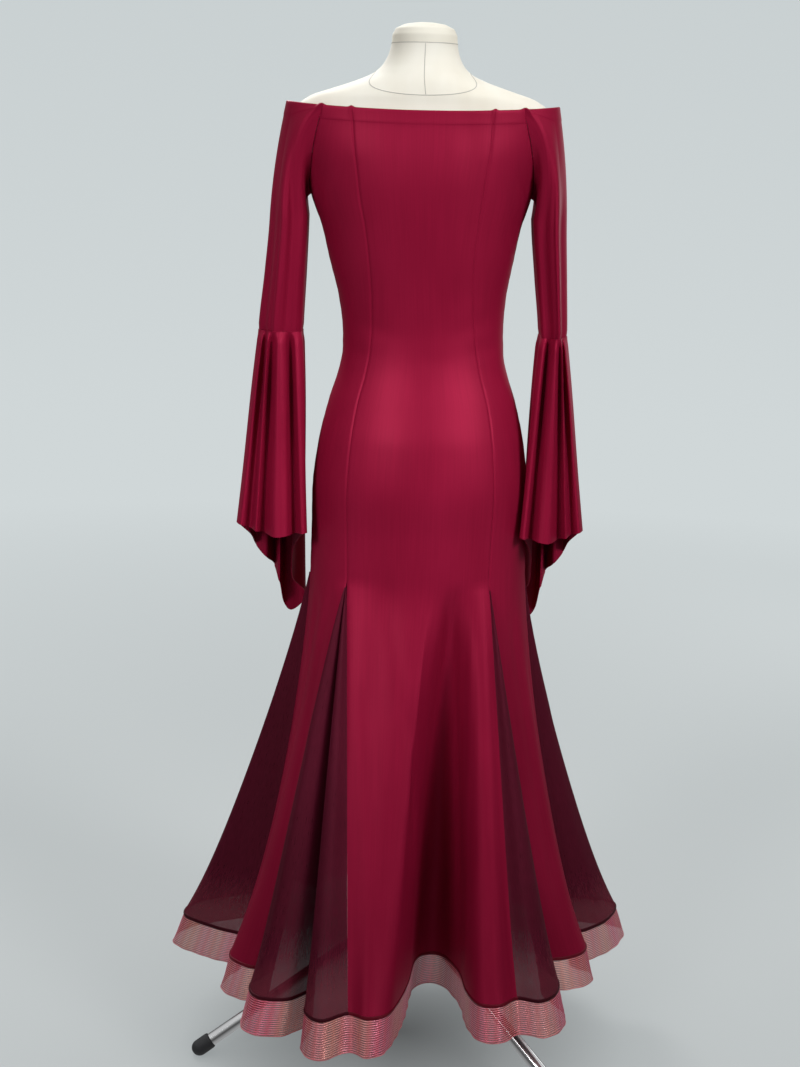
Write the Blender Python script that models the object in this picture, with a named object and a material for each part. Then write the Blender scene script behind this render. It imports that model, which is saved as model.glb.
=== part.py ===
"""Off-the-shoulder dress on a limbless dress form with a tripod stand.

The front of the dress faces -Y, its back +Y, and the wearer's left is +X. The origin is on the floor under the
stand's pole. Angles are in degrees round the pole: 0 is the wearer's left side, 90 the back, 270 the front.
"""
import math

import bmesh
import bpy
from mathutils import Vector

# Cloth
WALL = 0.0014
SEAM_GAP = 0.0003
SHORTEST_RUN = 1e-7
CASING_HEIGHT = 0.020
CASING_LIFT = 0.0008
CASING_STEP = 0.0015

# Neckline: its height over the shoulders, and how far it dips at the back, the front and the upper arms
NECK_TOP = 1.467
NECK_DIP_BACK = 0.010
NECK_DIP_FRONT = 0.028
NECK_DIP_SIDE = 0.003
NECK_SIDE_POWER = 12

# Bodice and hips: sections of the cloth's outside
TORSO_COLUMNS = ("height", "half_width", "front", "back", "centre_x", "fullness", "princess", "raglan")
TORSO = (
    (1.467, 0.1990, 0.080, 0.086, 0.0045, 2.10, 60.0, 45.0),
    (1.440, 0.1930, 0.086, 0.091, 0.0045, 2.10, 60.0, 40.0),
    (1.400, 0.1800, 0.099, 0.100, 0.0040, 2.10, 58.5, 29.0),
    (1.365, 0.1690, 0.110, 0.104, 0.0040, 2.05, 57.5, 16.0),
    (1.335, 0.1620, 0.120, 0.104, 0.0040, 2.00, 57.0, 0.0),
    (1.290, 0.1470, 0.124, 0.101, 0.0025, 2.00, 56.5, 0.0),
    (1.240, 0.1360, 0.114, 0.095, 0.0010, 2.00, 56.0, 0.0),
    (1.190, 0.1250, 0.100, 0.088, -0.0015, 2.00, 53.5, 0.0),
    (1.135, 0.1200, 0.090, 0.084, -0.0040, 2.00, 50.5, 0.0),
    (1.085, 0.1245, 0.094, 0.090, -0.0050, 2.00, 48.0, 0.0),
    (1.035, 0.1400, 0.102, 0.105, -0.0055, 2.00, 46.5, 0.0),
    (0.980, 0.1535, 0.108, 0.122, -0.0055, 2.00, 47.0, 0.0),
    (0.910, 0.1630, 0.110, 0.131, -0.0055, 2.00, 48.0, 0.0),
    (0.840, 0.1640, 0.110, 0.125, -0.0055, 2.00, 49.0, 0.0),
    (0.772, 0.1650, 0.112, 0.122, -0.0055, 2.00, 50.0, 0.0),
)
ARMPIT = 1.335
GODET_TOP = 0.772

# Bust: two soft mounds on the front, from the cut of the princess seams
BUST_HEIGHT = 1.295
BUST_ANGLE = 37.0
BUST_LIFT = 0.012
BUST_SPREAD_HEIGHT = 0.055
BUST_SPREAD_ANGLE = 20.0

# Hem: the cloth's lower edge, its binding, and the horsehair braid under it
HEM = 0.183
BINDING_BOTTOM = 0.178
BRAID_BOTTOM = 0.130
BINDING_WALL = 0.0026
BRAID_WALL = 0.0010
BRAID_FLARE = 1.1
HEM_FLIP = 0.06
HEM_FLIP_POWER = 9
FLARE_EASE = 0.08
SEAM_REACH = 0.28

# Lower edge of the skirt, one row for each fold's crest or trough and each seam, at the top of the binding.
# Columns: the piece that starts at that seam, angle, radius, and the power that the fold opens with going down.
HEM_FOLDS = (
    ("godet_side_left", -29.0, 0.268, 1.35),
    ("", -22.0, 0.302, 1.15),
    ("", -13.0, 0.350, 1.05),
    ("", -4.0, 0.357, 1.05),
    ("", 4.0, 0.302, 1.10),
    ("panel_side_back_left", 11.0, 0.256, 1.45),
    ("", 17.0, 0.275, 1.50),
    ("", 25.0, 0.296, 1.50),
    ("", 34.0, 0.284, 1.40),
    ("godet_back_left", 39.0, 0.256, 0.95),
    ("", 43.5, 0.316, 0.80),
    ("", 50.0, 0.336, 0.82),
    ("", 57.0, 0.314, 0.85),
    ("", 60.0, 0.268, 0.95),
    ("", 64.0, 0.330, 0.85),
    ("", 70.0, 0.349, 0.85),
    ("panel_centre_back", 75.0, 0.314, 1.00),
    ("", 80.5, 0.322, 1.05),
    ("", 85.2, 0.306, 0.92),
    ("", 88.0, 0.266, 0.80),
    ("", 91.5, 0.202, 0.75),
    ("", 97.5, 0.124, 0.72),
    ("", 109.0, 0.103, 0.72),
    ("", 120.0, 0.120, 0.74),
    ("", 117.5, 0.180, 0.84),
    ("", 112.5, 0.240, 0.96),
    ("", 112.5, 0.285, 1.05),
    ("", 117.5, 0.302, 1.05),
    ("godet_back_right", 124.5, 0.294, 1.00),
    ("", 128.5, 0.320, 0.80),
    ("", 135.0, 0.318, 0.85),
    ("", 142.0, 0.294, 0.95),
    ("", 146.5, 0.256, 1.05),
    ("panel_side_back_right", 151.0, 0.236, 1.20),
    ("", 157.5, 0.268, 1.20),
    ("", 164.0, 0.290, 1.15),
    ("", 171.0, 0.288, 1.15),
    ("godet_side_right", 176.0, 0.258, 1.30),
    ("", 181.5, 0.296, 1.25),
    ("", 189.0, 0.338, 1.25),
    ("", 198.0, 0.366, 1.25),
    ("", 205.0, 0.320, 1.30),
    ("panel_side_front_right", 210.0, 0.272, 1.30),
    ("", 217.0, 0.306, 1.35),
    ("", 224.0, 0.310, 1.35),
    ("godet_front_right", 229.0, 0.276, 1.10),
    ("", 234.0, 0.328, 0.95),
    ("", 239.5, 0.330, 0.95),
    ("", 243.5, 0.284, 1.05),
    ("", 248.0, 0.326, 0.95),
    ("panel_centre_front", 253.0, 0.318, 1.10),
    ("", 259.5, 0.326, 1.20),
    ("", 266.0, 0.272, 1.15),
    ("", 273.0, 0.244, 1.10),
    ("", 279.5, 0.282, 1.15),
    ("", 286.0, 0.328, 1.20),
    ("godet_front_left", 291.5, 0.316, 1.10),
    ("", 296.0, 0.332, 0.95),
    ("", 300.5, 0.288, 1.05),
    ("", 304.5, 0.334, 0.95),
    ("", 310.0, 0.330, 0.95),
    ("panel_side_front_left", 315.0, 0.278, 1.30),
    ("", 321.0, 0.312, 1.35),
    ("", 327.0, 0.306, 1.35),
)
# How a panel's width above the godets is shared out along its hem, where one deep fold takes most of it
WIDTH_SHARES = {
    # share of the hem, share of the width above it
    "panel_centre_back": ((0.0, 0.0), (0.13, 0.50), (0.30, 0.60), (0.56, 0.74), (0.80, 0.86), (1.0, 1.0)),
}
# Rows of points down a panel: under the neckline, down the body, and down the skirt from the godets' tops
EDGE_DEPTHS = (0.0, CASING_HEIGHT, CASING_HEIGHT + CASING_STEP)
CASING_ROWS = 2
BODY_ROWS = (1.400, 1.365, 1.335, 1.290, 1.240, 1.190, 1.135, 1.085, 1.035, 0.980, 0.910, 0.840, 0.772)
SKIRT_ROWS = (0.7675, 0.735, 0.680, 0.600, 0.510, 0.420, 0.330, 0.250, HEM)
GODET_FIRST_ROW = len(EDGE_DEPTHS) + len(BODY_ROWS)
PANEL_ROWS = GODET_FIRST_ROW + len(SKIRT_ROWS)
GODET_TIP_HALF_WIDTH = 0.0016
SEAM_NUDGE = 1.0
STEPS_PER_FOLD = {"panel_centre_back": 1, "panel_centre_front": 1}
DEFAULT_STEPS_PER_FOLD = 2

# Sleeves: horizontal sections below the armpit, from the inner edge to the outer edge
SLEEVE_COLUMNS = ("height", "inner", "outer", "half_depth", "centre_y")
SLEEVES = {
    "left": (
        (1.305, 0.1680, 0.2240, 0.050, 0.000),
        (1.222, 0.1705, 0.2310, 0.046, -0.001),
        (1.134, 0.1740, 0.2400, 0.038, -0.002),
    ),
    "right": (
        (1.305, 0.1600, 0.2095, 0.052, 0.000),
        (1.222, 0.1680, 0.2135, 0.050, -0.001),
        (1.134, 0.1775, 0.2175, 0.047, -0.002),
    ),
}
SLEEVE_TOP_SHARES = (0.0, 0.125, 0.134, 0.32, 0.54, 0.77)
SLEEVE_ROWS = (1.265, 1.222, 1.180, 1.134)
SLEEVE_FOLDS = 5
SLEEVE_FOLD_DEPTH = 0.0028
SHOULDER_STEPS = 12
SHOULDER_BULGE = 0.008
RAGLAN_CORNER = 0.15
RAGLAN_PUSH = 0.009
RAGLAN_TURN = 50.0
RAGLAN_GAP = 0.0006

# Flounces: how far their lower edge reaches inwards and outwards, and the folds along it. Share runs from the
# inner reach (0) to the outer reach (1), forward is minus Y.
FLOUNCE_REACH = {"left": (0.1595, 0.2716), "right": (0.1535, 0.2544)}
# Columns: share, y, height.
FLOUNCE_FOLDS = (
    (0.97, 0.004, 0.838),
    (1.00, 0.024, 0.843),
    (0.92, 0.052, 0.844),
    (0.80, 0.042, 0.839),
    (0.71, 0.066, 0.838),
    (0.62, 0.048, 0.834),
    (0.46, 0.078, 0.832),
    (0.29, 0.077, 0.834),
    (0.19, 0.056, 0.835),
    (0.09, 0.078, 0.838),
    (0.02, 0.068, 0.838),
    (0.12, 0.046, 0.828),
    (0.22, 0.018, 0.804),
    (0.26, -0.010, 0.774),
    (0.25, -0.036, 0.742),
    (0.10, -0.066, 0.716),
    (0.14, -0.094, 0.692),
    (0.31, -0.100, 0.676),
    (0.42, -0.094, 0.690),
    (0.46, -0.062, 0.730),
    (0.55, -0.084, 0.754),
    (0.64, -0.052, 0.772),
    (0.80, -0.064, 0.790),
    (0.85, -0.034, 0.812),
    (0.98, -0.024, 0.828),
)
FLOUNCE_STEPS_PER_FOLD = 2
FLOUNCE_ROWS = (0.0, 0.15, 0.33, 0.54, 0.77, 1.0)

# Dress form
FORM_CLEARANCE = 0.0026
FORM_BOTTOM = 0.800
FORM_SEGMENTS = 32
FORM_ROWS = (1.325, 1.290, 1.240, 1.190, 1.135, 1.085, 1.035, 0.980, 0.910, 0.840)
SHOULDER_COLUMNS = ("height", "half_width", "front", "back", "centre_x", "centre_y")
SHOULDERS = (
    (1.552, 0.0480, 0.046, 0.048, 0.0045, 0.004),
    (1.535, 0.0520, 0.049, 0.050, 0.0050, 0.006),
    (1.520, 0.0600, 0.054, 0.055, 0.0055, 0.008),
    (1.508, 0.0740, 0.060, 0.062, 0.0060, 0.008),
    (1.498, 0.0980, 0.066, 0.069, 0.0060, 0.006),
    (1.488, 0.1280, 0.071, 0.074, 0.0055, 0.004),
    (1.477, 0.1620, 0.074, 0.078, 0.0050, 0.002),
    (1.462, 0.1830, 0.077, 0.081, 0.0045, 0.000),
    (1.440, 0.1860, 0.083, 0.086, 0.0045, 0.000),
    (1.400, 0.1640, 0.093, 0.094, 0.0040, 0.000),
    (1.365, 0.1530, 0.104, 0.098, 0.0040, 0.000),
)
# Columns of both profiles below: height, radius
CAP_PROFILE = ((1.5526, 0.0478), (1.5640, 0.0470), (1.5730, 0.0425), (1.5790, 0.0300), (1.5816, 0.0140))
CAP_SEGMENTS = 28

# Stand
POLE_RADIUS = 0.014
HUB_RADIUS = 0.030
HUB_NECK = 0.020
HUB_PROFILE = ((0.240, HUB_NECK), (0.232, 0.022), (0.224, HUB_RADIUS), (0.175, HUB_RADIUS), (0.165, HUB_NECK))
HUB_TOP = HUB_PROFILE[0][0]
HUB_BOTTOM = HUB_PROFILE[-1][0]
LEG_RADIUS = 0.010
LEG_ANGLES = (17.0, 137.0, 257.0)
LEG_START_HEIGHT = 0.204
FOOT_REACH = 0.333
FOOT_AXIS_HEIGHT = 0.012
FOOT_RADIUS = 0.0125
FOOT_LENGTH = 0.034
ROUND_SEGMENTS = 20

MATERIALS = {
    # name: (colour, roughness, metallic)
    "wine_jersey": ((0.240, 0.012, 0.040), 0.38, 0.0),
    "dark_mesh": ((0.060, 0.010, 0.018), 0.70, 0.0),
    "binding_satin": ((0.090, 0.006, 0.022), 0.40, 0.0),
    "horsehair_braid": ((0.480, 0.150, 0.150), 0.30, 0.0),
    "form_jersey": ((0.780, 0.760, 0.690), 0.65, 0.0),
    "cap_jersey": ((0.800, 0.770, 0.680), 0.65, 0.0),
    "chrome": ((0.720, 0.730, 0.740), 0.15, 1.0),
    "rubber": ((0.040, 0.042, 0.045), 0.80, 0.0),
}


def clear_scene():
    for item in list(bpy.data.objects):
        bpy.data.objects.remove(item, do_unlink=True)


def material(name):
    found = bpy.data.materials.get(name)
    if found:
        return found
    colour, roughness, metallic = MATERIALS[name]
    made = bpy.data.materials.new(name)
    made.use_nodes = True
    shader = made.node_tree.nodes["Principled BSDF"]
    shader.inputs["Base Color"].default_value = (*colour, 1.0)
    shader.inputs["Roughness"].default_value = roughness
    shader.inputs["Metallic"].default_value = metallic
    return made


def add_object(name, bm, material_name, sharp_degrees=35.0):
    bmesh.ops.recalc_face_normals(bm, faces=bm.faces)
    mesh = bpy.data.meshes.new(name)
    bm.to_mesh(mesh)
    bm.free()
    mesh.shade_smooth()
    mesh.set_sharp_from_angle(angle=math.radians(sharp_degrees))
    mesh.materials.append(material(material_name))
    made = bpy.data.objects.new(name, mesh)
    bpy.context.scene.collection.objects.link(made)
    return made


def cubic(before, start, end, after, share):
    """A point between start and end on a smooth curve that also heads for its neighbours."""
    return 0.5 * (
        2.0 * start
        + (end - before) * share
        + (2.0 * before - 5.0 * start + 4.0 * end - after) * share**2
        + (3.0 * start - before - 3.0 * end + after) * share**3
    )


def table_value(rows, columns, name, height):
    """A column's value at a height, on a smooth curve through the table's rows."""
    column = columns.index(name)
    if height >= rows[0][0]:
        return rows[0][column]
    if height <= rows[-1][0]:
        return rows[-1][column]
    index = 0
    while rows[index + 1][0] > height:
        index += 1
    before = rows[max(index - 1, 0)][column]
    after = rows[min(index + 2, len(rows) - 1)][column]
    share = (rows[index][0] - height) / (rows[index][0] - rows[index + 1][0])
    return cubic(before, rows[index][column], rows[index + 1][column], after, share)


def torso_value(name, height):
    return table_value(TORSO, TORSO_COLUMNS, name, height)


def oval(angle, half_width, front, back, fullness):
    """A point on a full oval whose front and back have depths of their own."""
    turn = math.radians(angle)
    along = math.cos(turn)
    across = math.sin(turn)
    depth = back if across > 0 else front
    x = half_width * math.copysign(abs(along) ** (2.0 / fullness), along)
    y = depth * math.copysign(abs(across) ** (2.0 / fullness), across)
    return x, y


def bust_lift(angle, height):
    lift = 0.0
    for side in (270.0 - BUST_ANGLE, 270.0 + BUST_ANGLE):
        turn = (angle - side + 180.0) % 360.0 - 180.0
        away = (turn / BUST_SPREAD_ANGLE) ** 2 + ((height - BUST_HEIGHT) / BUST_SPREAD_HEIGHT) ** 2
        lift += BUST_LIFT * math.exp(-away)
    return lift


def torso_point(angle, height, inset=0.0):
    """The cloth's outside on the bodice or hips, or a point the given distance inside it."""
    x, y = oval(
        angle,
        torso_value("half_width", height) - inset,
        torso_value("front", height) - inset,
        torso_value("back", height) - inset,
        torso_value("fullness", height),
    )
    y -= bust_lift(angle, height)
    return Vector((x + torso_value("centre_x", height), y, height))


def neckline_height(angle):
    along = math.cos(math.radians(angle))
    across = math.sin(math.radians(angle))
    dip = NECK_DIP_BACK if across > 0 else NECK_DIP_FRONT
    return NECK_TOP - dip * across**2 - NECK_DIP_SIDE * along**NECK_SIDE_POWER


def seam_angle(seam, height):
    """Where a seam lies round the bodice or hips at a height."""
    princess = torso_value("princess", height)
    raglan = max(torso_value("raglan", height), 0.0) if height > ARMPIT else 0.0
    return {
        "back_left": princess,
        "back_right": 180.0 - princess,
        "front_right": 180.0 + princess,
        "front_left": 360.0 - princess,
        "side_left_back": raglan,
        "side_left_front": 360.0 - raglan,
        "side_right_back": 180.0 - raglan,
        "side_right_front": 180.0 + raglan,
    }[seam]


PIECE_SEAMS = {
    # piece: (seam where it starts, seam where it ends), going counter-clockwise from above
    "panel_side_back_left": ("side_left_back", "back_left"),
    "godet_back_left": ("back_left", "back_left"),
    "panel_centre_back": ("back_left", "back_right"),
    "godet_back_right": ("back_right", "back_right"),
    "panel_side_back_right": ("back_right", "side_right_back"),
    "godet_side_right": ("side_right_back", "side_right_back"),
    "panel_side_front_right": ("side_right_front", "front_right"),
    "godet_front_right": ("front_right", "front_right"),
    "panel_centre_front": ("front_right", "front_left"),
    "godet_front_left": ("front_left", "front_left"),
    "panel_side_front_left": ("front_left", "side_left_front"),
    "godet_side_left": ("side_left_back", "side_left_back"),
}
PIECE_ORDER = [row[0] for row in HEM_FOLDS if row[0]]


def width_share(name, hem_share):
    """The share of a piece's width at the godets' tops that a share of its hem hangs from."""
    rows = WIDTH_SHARES.get(name, ((0.0, 0.0), (1.0, 1.0)))
    for (low, first), (high, last) in zip(rows, rows[1:]):
        if hem_share <= high:
            return first + (last - first) * (hem_share - low) / (high - low)
    return 1.0


def hem_stations():
    """For each skirt piece, its points along the hem: x, y, flare and the share of its width above."""
    count = len(HEM_FOLDS)
    spots = []
    for _, angle, radius, flare in HEM_FOLDS:
        turn = math.radians(angle)
        spots.append(Vector((radius * math.cos(turn), radius * math.sin(turn), flare)))
    starts = [index for index, row in enumerate(HEM_FOLDS) if row[0]]
    pieces = {}
    for number, start in enumerate(starts):
        name = HEM_FOLDS[start][0]
        end = starts[(number + 1) % len(starts)]
        if end <= start:
            end += count
        steps = STEPS_PER_FOLD.get(name, DEFAULT_STEPS_PER_FOLD)
        line = []
        for index in range(start, end):
            corners = [spots[(index + offset) % count] for offset in (-1, 0, 1, 2)]
            line += [cubic(*corners, step / steps) for step in range(steps)]
        line.append(spots[end % count].copy())
        lengths = [0.0]
        for first, second in zip(line, line[1:]):
            lengths.append(lengths[-1] + (second.xy - first.xy).length)
        pieces[name] = [(spot, width_share(name, length / lengths[-1])) for spot, length in zip(line, lengths)]
    return pieces


HEM_LINES = hem_stations()


def piece_angle(name, share, height):
    """The angle round the body of a share of a panel's width, for heights above the godets."""
    start = seam_angle(PIECE_SEAMS[name][0], height)
    end = seam_angle(PIECE_SEAMS[name][1], height)
    if end < start:
        end += 360.0
    return start + (end - start) * share


def skirt_seam(name, end, height, softness):
    """Where a piece's seam runs below the godets' tops, apart by a godet's blunt tip from the start."""
    line = HEM_LINES[name]
    spot = line[end][0]
    top = torso_point(piece_angle(name, line[end][1], GODET_TOP), GODET_TOP)
    along = torso_point(piece_angle(name, line[end][1], GODET_TOP) + SEAM_NUDGE, GODET_TOP) - top
    towards = 1.0 if (end == 0) == name.startswith("panel") else -1.0
    top += along.normalized() * GODET_TIP_HALF_WIDTH * towards
    opening = skirt_opening(spot.z, height, softness)
    return Vector((top.x + (spot.x - top.x) * opening, top.y + (spot.y - top.y) * opening))


def skirt_opening(flare, height, softness):
    """How far the fan has opened at a height, from 0 at the godets' tops to 1 at the hem and more below it."""
    drop = (GODET_TOP - height) / (GODET_TOP - HEM)
    if drop > 1.0:
        return 1.0 + (drop - 1.0) * BRAID_FLARE
    soft = (math.hypot(drop, FLARE_EASE) - FLARE_EASE) / (math.hypot(1.0, FLARE_EASE) - FLARE_EASE)
    eased = drop + (soft - drop) * softness
    return (1.0 - HEM_FLIP) * eased**flare + HEM_FLIP * drop**HEM_FLIP_POWER


def skirt_point(name, column, height):
    """The cloth's outside below the godets' tops: seams that fan out, with the hem's folds growing between."""
    line = HEM_LINES[name]
    spot, share = line[column]
    softness = 0.0
    if name.startswith("panel"):
        reach = min(share / SEAM_REACH, (1.0 - share) / SEAM_REACH, 1.0)
        softness = reach * reach * (3.0 - 2.0 * reach)
    start = skirt_seam(name, 0, height, softness)
    end = skirt_seam(name, -1, height, softness)
    first, last = line[0][0], line[-1][0]
    fold = spot.xy - first.xy.lerp(last.xy, share)
    level = start.lerp(end, share) + fold * skirt_opening(spot.z, height, softness)
    if name.startswith("panel"):
        top = torso_point(piece_angle(name, share, GODET_TOP), GODET_TOP)
        corners = [torso_point(piece_angle(name, side, GODET_TOP), GODET_TOP) for side in (0.0, 1.0)]
        drop = min((GODET_TOP - height) / (GODET_TOP - HEM), 1.0)
        roundness = 0.5 + 0.5 * math.cos(math.pi * drop)
        level += (top - corners[0].lerp(corners[1], share)).xy * roundness
    return Vector((level.x, level.y, height))


def body_point(name, column, row):
    """The cloth's outside at a row of a panel: rows count down from the neckline."""
    share = HEM_LINES[name][column][1]
    if row < len(EDGE_DEPTHS):
        height = neckline_height(piece_angle(name, share, NECK_TOP)) - EDGE_DEPTHS[row]
        return torso_point(piece_angle(name, share, height), height)
    if row < GODET_FIRST_ROW:
        height = BODY_ROWS[row - len(EDGE_DEPTHS)]
        return torso_point(piece_angle(name, share, height), height)
    return skirt_point(name, column, SKIRT_ROWS[row - GODET_FIRST_ROW])


def row_is_split(row):
    """Whether the sleeves part the body's ring at this row."""
    return row < len(EDGE_DEPTHS) or (row < GODET_FIRST_ROW and BODY_ROWS[row - len(EDGE_DEPTHS)] > ARMPIT)


def level_normals(line, closed):
    """Outward normals, level with the floor, of a line of points that runs counter-clockwise."""
    count = len(line)
    normals = []
    for index in range(count):
        if closed:
            before = line[index - 1]
            after = line[(index + 1) % count]
        else:
            before = line[max(index - 1, 0)]
            after = line[min(index + 1, count - 1)]
        run_in = (line[index] - before).xy
        run_out = (after - line[index]).xy
        run_in = run_in.normalized() if run_in.length > SHORTEST_RUN else run_out.normalized()
        run_out = run_out.normalized() if run_out.length > SHORTEST_RUN else run_in
        run = (run_in + run_out).normalized()
        normals.append(Vector((run.y, -run.x, 0.0)))
    return normals


def ring_rows():
    """Every row of the whole dress body, as {piece: (outer points, normals)}."""
    rows = []
    for row in range(PANEL_ROWS):
        has_godets = row >= GODET_FIRST_ROW
        pieces = [name for name in PIECE_ORDER if has_godets or name.startswith("panel")]
        lines = {}
        for name in pieces:
            count = len(HEM_LINES[name])
            lines[name] = [body_point(name, column, row) for column in range(count)]
        ring = []
        spans = {}
        for name in pieces:
            spans[name] = len(ring)
            ring += lines[name][:-1]
        ring_normals = level_normals(ring, closed=True)
        rows.append({})
        for name in pieces:
            start = spans[name]
            count = len(lines[name])
            normals = [ring_normals[(start + column) % len(ring)] for column in range(count)]
            if row_is_split(row):
                normals = level_normals(lines[name], closed=False)
            rows[-1][name] = (lines[name], normals)
    return rows


def pull_in_ends(line, gap):
    """The same line with both ends drawn in along it by half a seam's gap."""
    pulled = [point.copy() for point in line]
    pulled[0] += (line[1] - line[0]).normalized() * gap / 2
    pulled[-1] += (line[-2] - line[-1]).normalized() * gap / 2
    return pulled


def wall_solid(name, outer, inner, material_name, closed):
    """One closed solid between an outer and an inner sheet of rows, each row a line or a ring."""
    bm = bmesh.new()
    sheets = [[[bm.verts.new(point) for point in row] for row in sheet] for sheet in (outer, inner)]
    count = len(outer[0])
    spans = range(count if closed else count - 1)
    last = len(outer) - 1
    for above in range(last):
        for first in spans:
            second = (first + 1) % count
            for sheet in sheets:
                corners = (
                    sheet[above][first],
                    sheet[above][second],
                    sheet[above + 1][second],
                    sheet[above + 1][first],
                )
                bm.faces.new(corners)
    for edge in (0, last):
        for first in spans:
            second = (first + 1) % count
            bm.faces.new((sheets[0][edge][first], sheets[0][edge][second],
                          sheets[1][edge][second], sheets[1][edge][first]))
    if not closed:
        for side in (0, count - 1):
            for above in range(last):
                bm.faces.new((sheets[0][above][side], sheets[0][above + 1][side],
                              sheets[1][above + 1][side], sheets[1][above][side]))
    return add_object(name, bm, material_name)


def make_body_pieces():
    """The panels and the godets, each a curved wall from seam to seam."""
    rows = ring_rows()
    for name in PIECE_ORDER:
        outer = []
        inner = []
        first = 0 if name.startswith("panel") else GODET_FIRST_ROW
        for index in range(first, PANEL_ROWS):
            line, normals = rows[index][name]
            lift = CASING_LIFT if index < CASING_ROWS else 0.0
            raised = [point + normal * lift for point, normal in zip(line, normals)]
            sunk = [point - normal * WALL for point, normal in zip(line, normals)]
            outer.append(pull_in_ends(raised, SEAM_GAP))
            inner.append(pull_in_ends(sunk, SEAM_GAP))
        wall_solid(name, outer, inner, "wine_jersey" if name.startswith("panel") else "dark_mesh", closed=False)


HEM_SECTIONS = {
    "left": ("panel_side_front_left", "godet_side_left", "panel_side_back_left"),
    "back": ("godet_back_left", "panel_centre_back", "godet_back_right"),
    "right": ("panel_side_back_right", "godet_side_right", "panel_side_front_right"),
    "front": ("godet_front_right", "panel_centre_front", "godet_front_left"),
}


def hem_ring(height):
    """The whole folded edge at a height, with its normals, as {piece: (points, normals)}."""
    ring = []
    spans = {}
    for name in PIECE_ORDER:
        spans[name] = len(ring)
        ring += [skirt_point(name, column, height) for column in range(len(HEM_LINES[name]) - 1)]
    normals = level_normals(ring, closed=True)
    found = {}
    for name in PIECE_ORDER:
        places = [(spans[name] + column) % len(ring) for column in range(len(HEM_LINES[name]))]
        found[name] = ([ring[place] for place in places], [normals[place] for place in places])
    return found


def make_hem_strip(prefix, top, bottom, wall, lift, material_name):
    """A strip round the hem in four lengths that meet end to end."""
    rings = [hem_ring(top), hem_ring(bottom)]
    for side, pieces in HEM_SECTIONS.items():
        outer = []
        inner = []
        for ring in rings:
            line = []
            normals = []
            for name in pieces:
                skip = 1 if line else 0
                line += ring[name][0][skip:]
                normals += ring[name][1][skip:]
            outer.append(pull_in_ends([p + n * lift for p, n in zip(line, normals)], SEAM_GAP))
            inner.append(pull_in_ends([p + n * (lift - wall) for p, n in zip(line, normals)], SEAM_GAP))
        wall_solid(f"{prefix}_{side}", outer, inner, material_name, closed=False)


def sleeve_value(side, name, height):
    return table_value(SLEEVES[side], SLEEVE_COLUMNS, name, height)


def sleeve_top_loop(side):
    """The sleeve's upper edge: up the back raglan seam, over the shoulder, down the front raglan seam."""
    back, front = [], []
    outwards = -1.0 if side == "left" else 1.0
    for line, seam, turn in ((back, f"side_{side}_back", outwards), (front, f"side_{side}_front", -outwards)):
        top = neckline_height(seam_angle(seam, NECK_TOP))
        for height in [row for row in reversed(BODY_ROWS) if row > ARMPIT] + [top - CASING_HEIGHT, top]:
            angle = seam_angle(seam, height)
            point = torso_point(angle, height)
            line.append(point + (torso_point(angle + turn, height) - point).normalized() * RAGLAN_GAP)
    underarm = torso_point(seam_angle(f"side_{side}_back", ARMPIT), ARMPIT)
    underarm.x += math.copysign(RAGLAN_GAP, underarm.x)
    start = seam_angle(f"side_{side}_back", back[-1].z)
    end = seam_angle(f"side_{side}_front", front[-1].z)
    if side == "left":
        end -= 360.0
    shoulder = []
    for step in range(1, SHOULDER_STEPS):
        angle = start + (end - start) * step / SHOULDER_STEPS
        shoulder.append(torso_point(angle, neckline_height(angle)))
    return [underarm] + back + shoulder + front[::-1]


def sleeve_ring_point(side, turn, height, fold):
    """A point of the sleeve's tube: turn 180 is its inner side, 90 its back, 0 its outer side."""
    inner = sleeve_value(side, "inner", height)
    outer = sleeve_value(side, "outer", height)
    half_width = (outer - inner) / 2
    half_depth = sleeve_value(side, "half_depth", height)
    wave = 1.0 + fold * math.cos(math.radians(SLEEVE_FOLDS * turn)) / half_width
    x = (inner + outer) / 2 + half_width * math.cos(math.radians(turn)) * wave
    y = sleeve_value(side, "centre_y", height) + half_depth * math.sin(math.radians(turn)) * wave
    sign = 1.0 if side == "left" else -1.0
    return Vector((sign * x, y, height))


def tube_normals(rows, flip, level_row):
    """Outward normals of a tube given as rows of points. One row's normals are level, where it meets its seam."""
    count = len(rows[0])
    found = []
    for index, row in enumerate(rows):
        above = rows[max(index - 1, 0)]
        below = rows[min(index + 1, len(rows) - 1)]
        line = []
        for column in range(count):
            round_it = row[(column + 1) % count] - row[column - 1]
            down_it = below[column] - above[column]
            normal = round_it.cross(down_it)
            if index == level_row:
                normal.z = 0.0
            normal.normalize()
            line.append(-normal if flip else normal)
        found.append(line)
    return found


def sleeve_top_point(top, ring, turn, share):
    """A point between the sleeve's upper edge and its first full ring: rounded over the shoulder, and led
    outwards before it drops where it leaves the raglan seams."""
    middle = top.lerp(ring, 0.5)
    middle.x += math.copysign(SHOULDER_BULGE, top.x)
    corner = top.lerp(ring, RAGLAN_CORNER)
    corner.x = ring.x + math.copysign(RAGLAN_PUSH, ring.x)
    raglan = min(max((abs(turn) - RAGLAN_TURN) / RAGLAN_TURN, 0.0), 1.0)
    control = middle.lerp(corner, raglan)
    rest = 1.0 - share
    return top * rest**2 + control * (2.0 * share * rest) + ring * share**2


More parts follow.
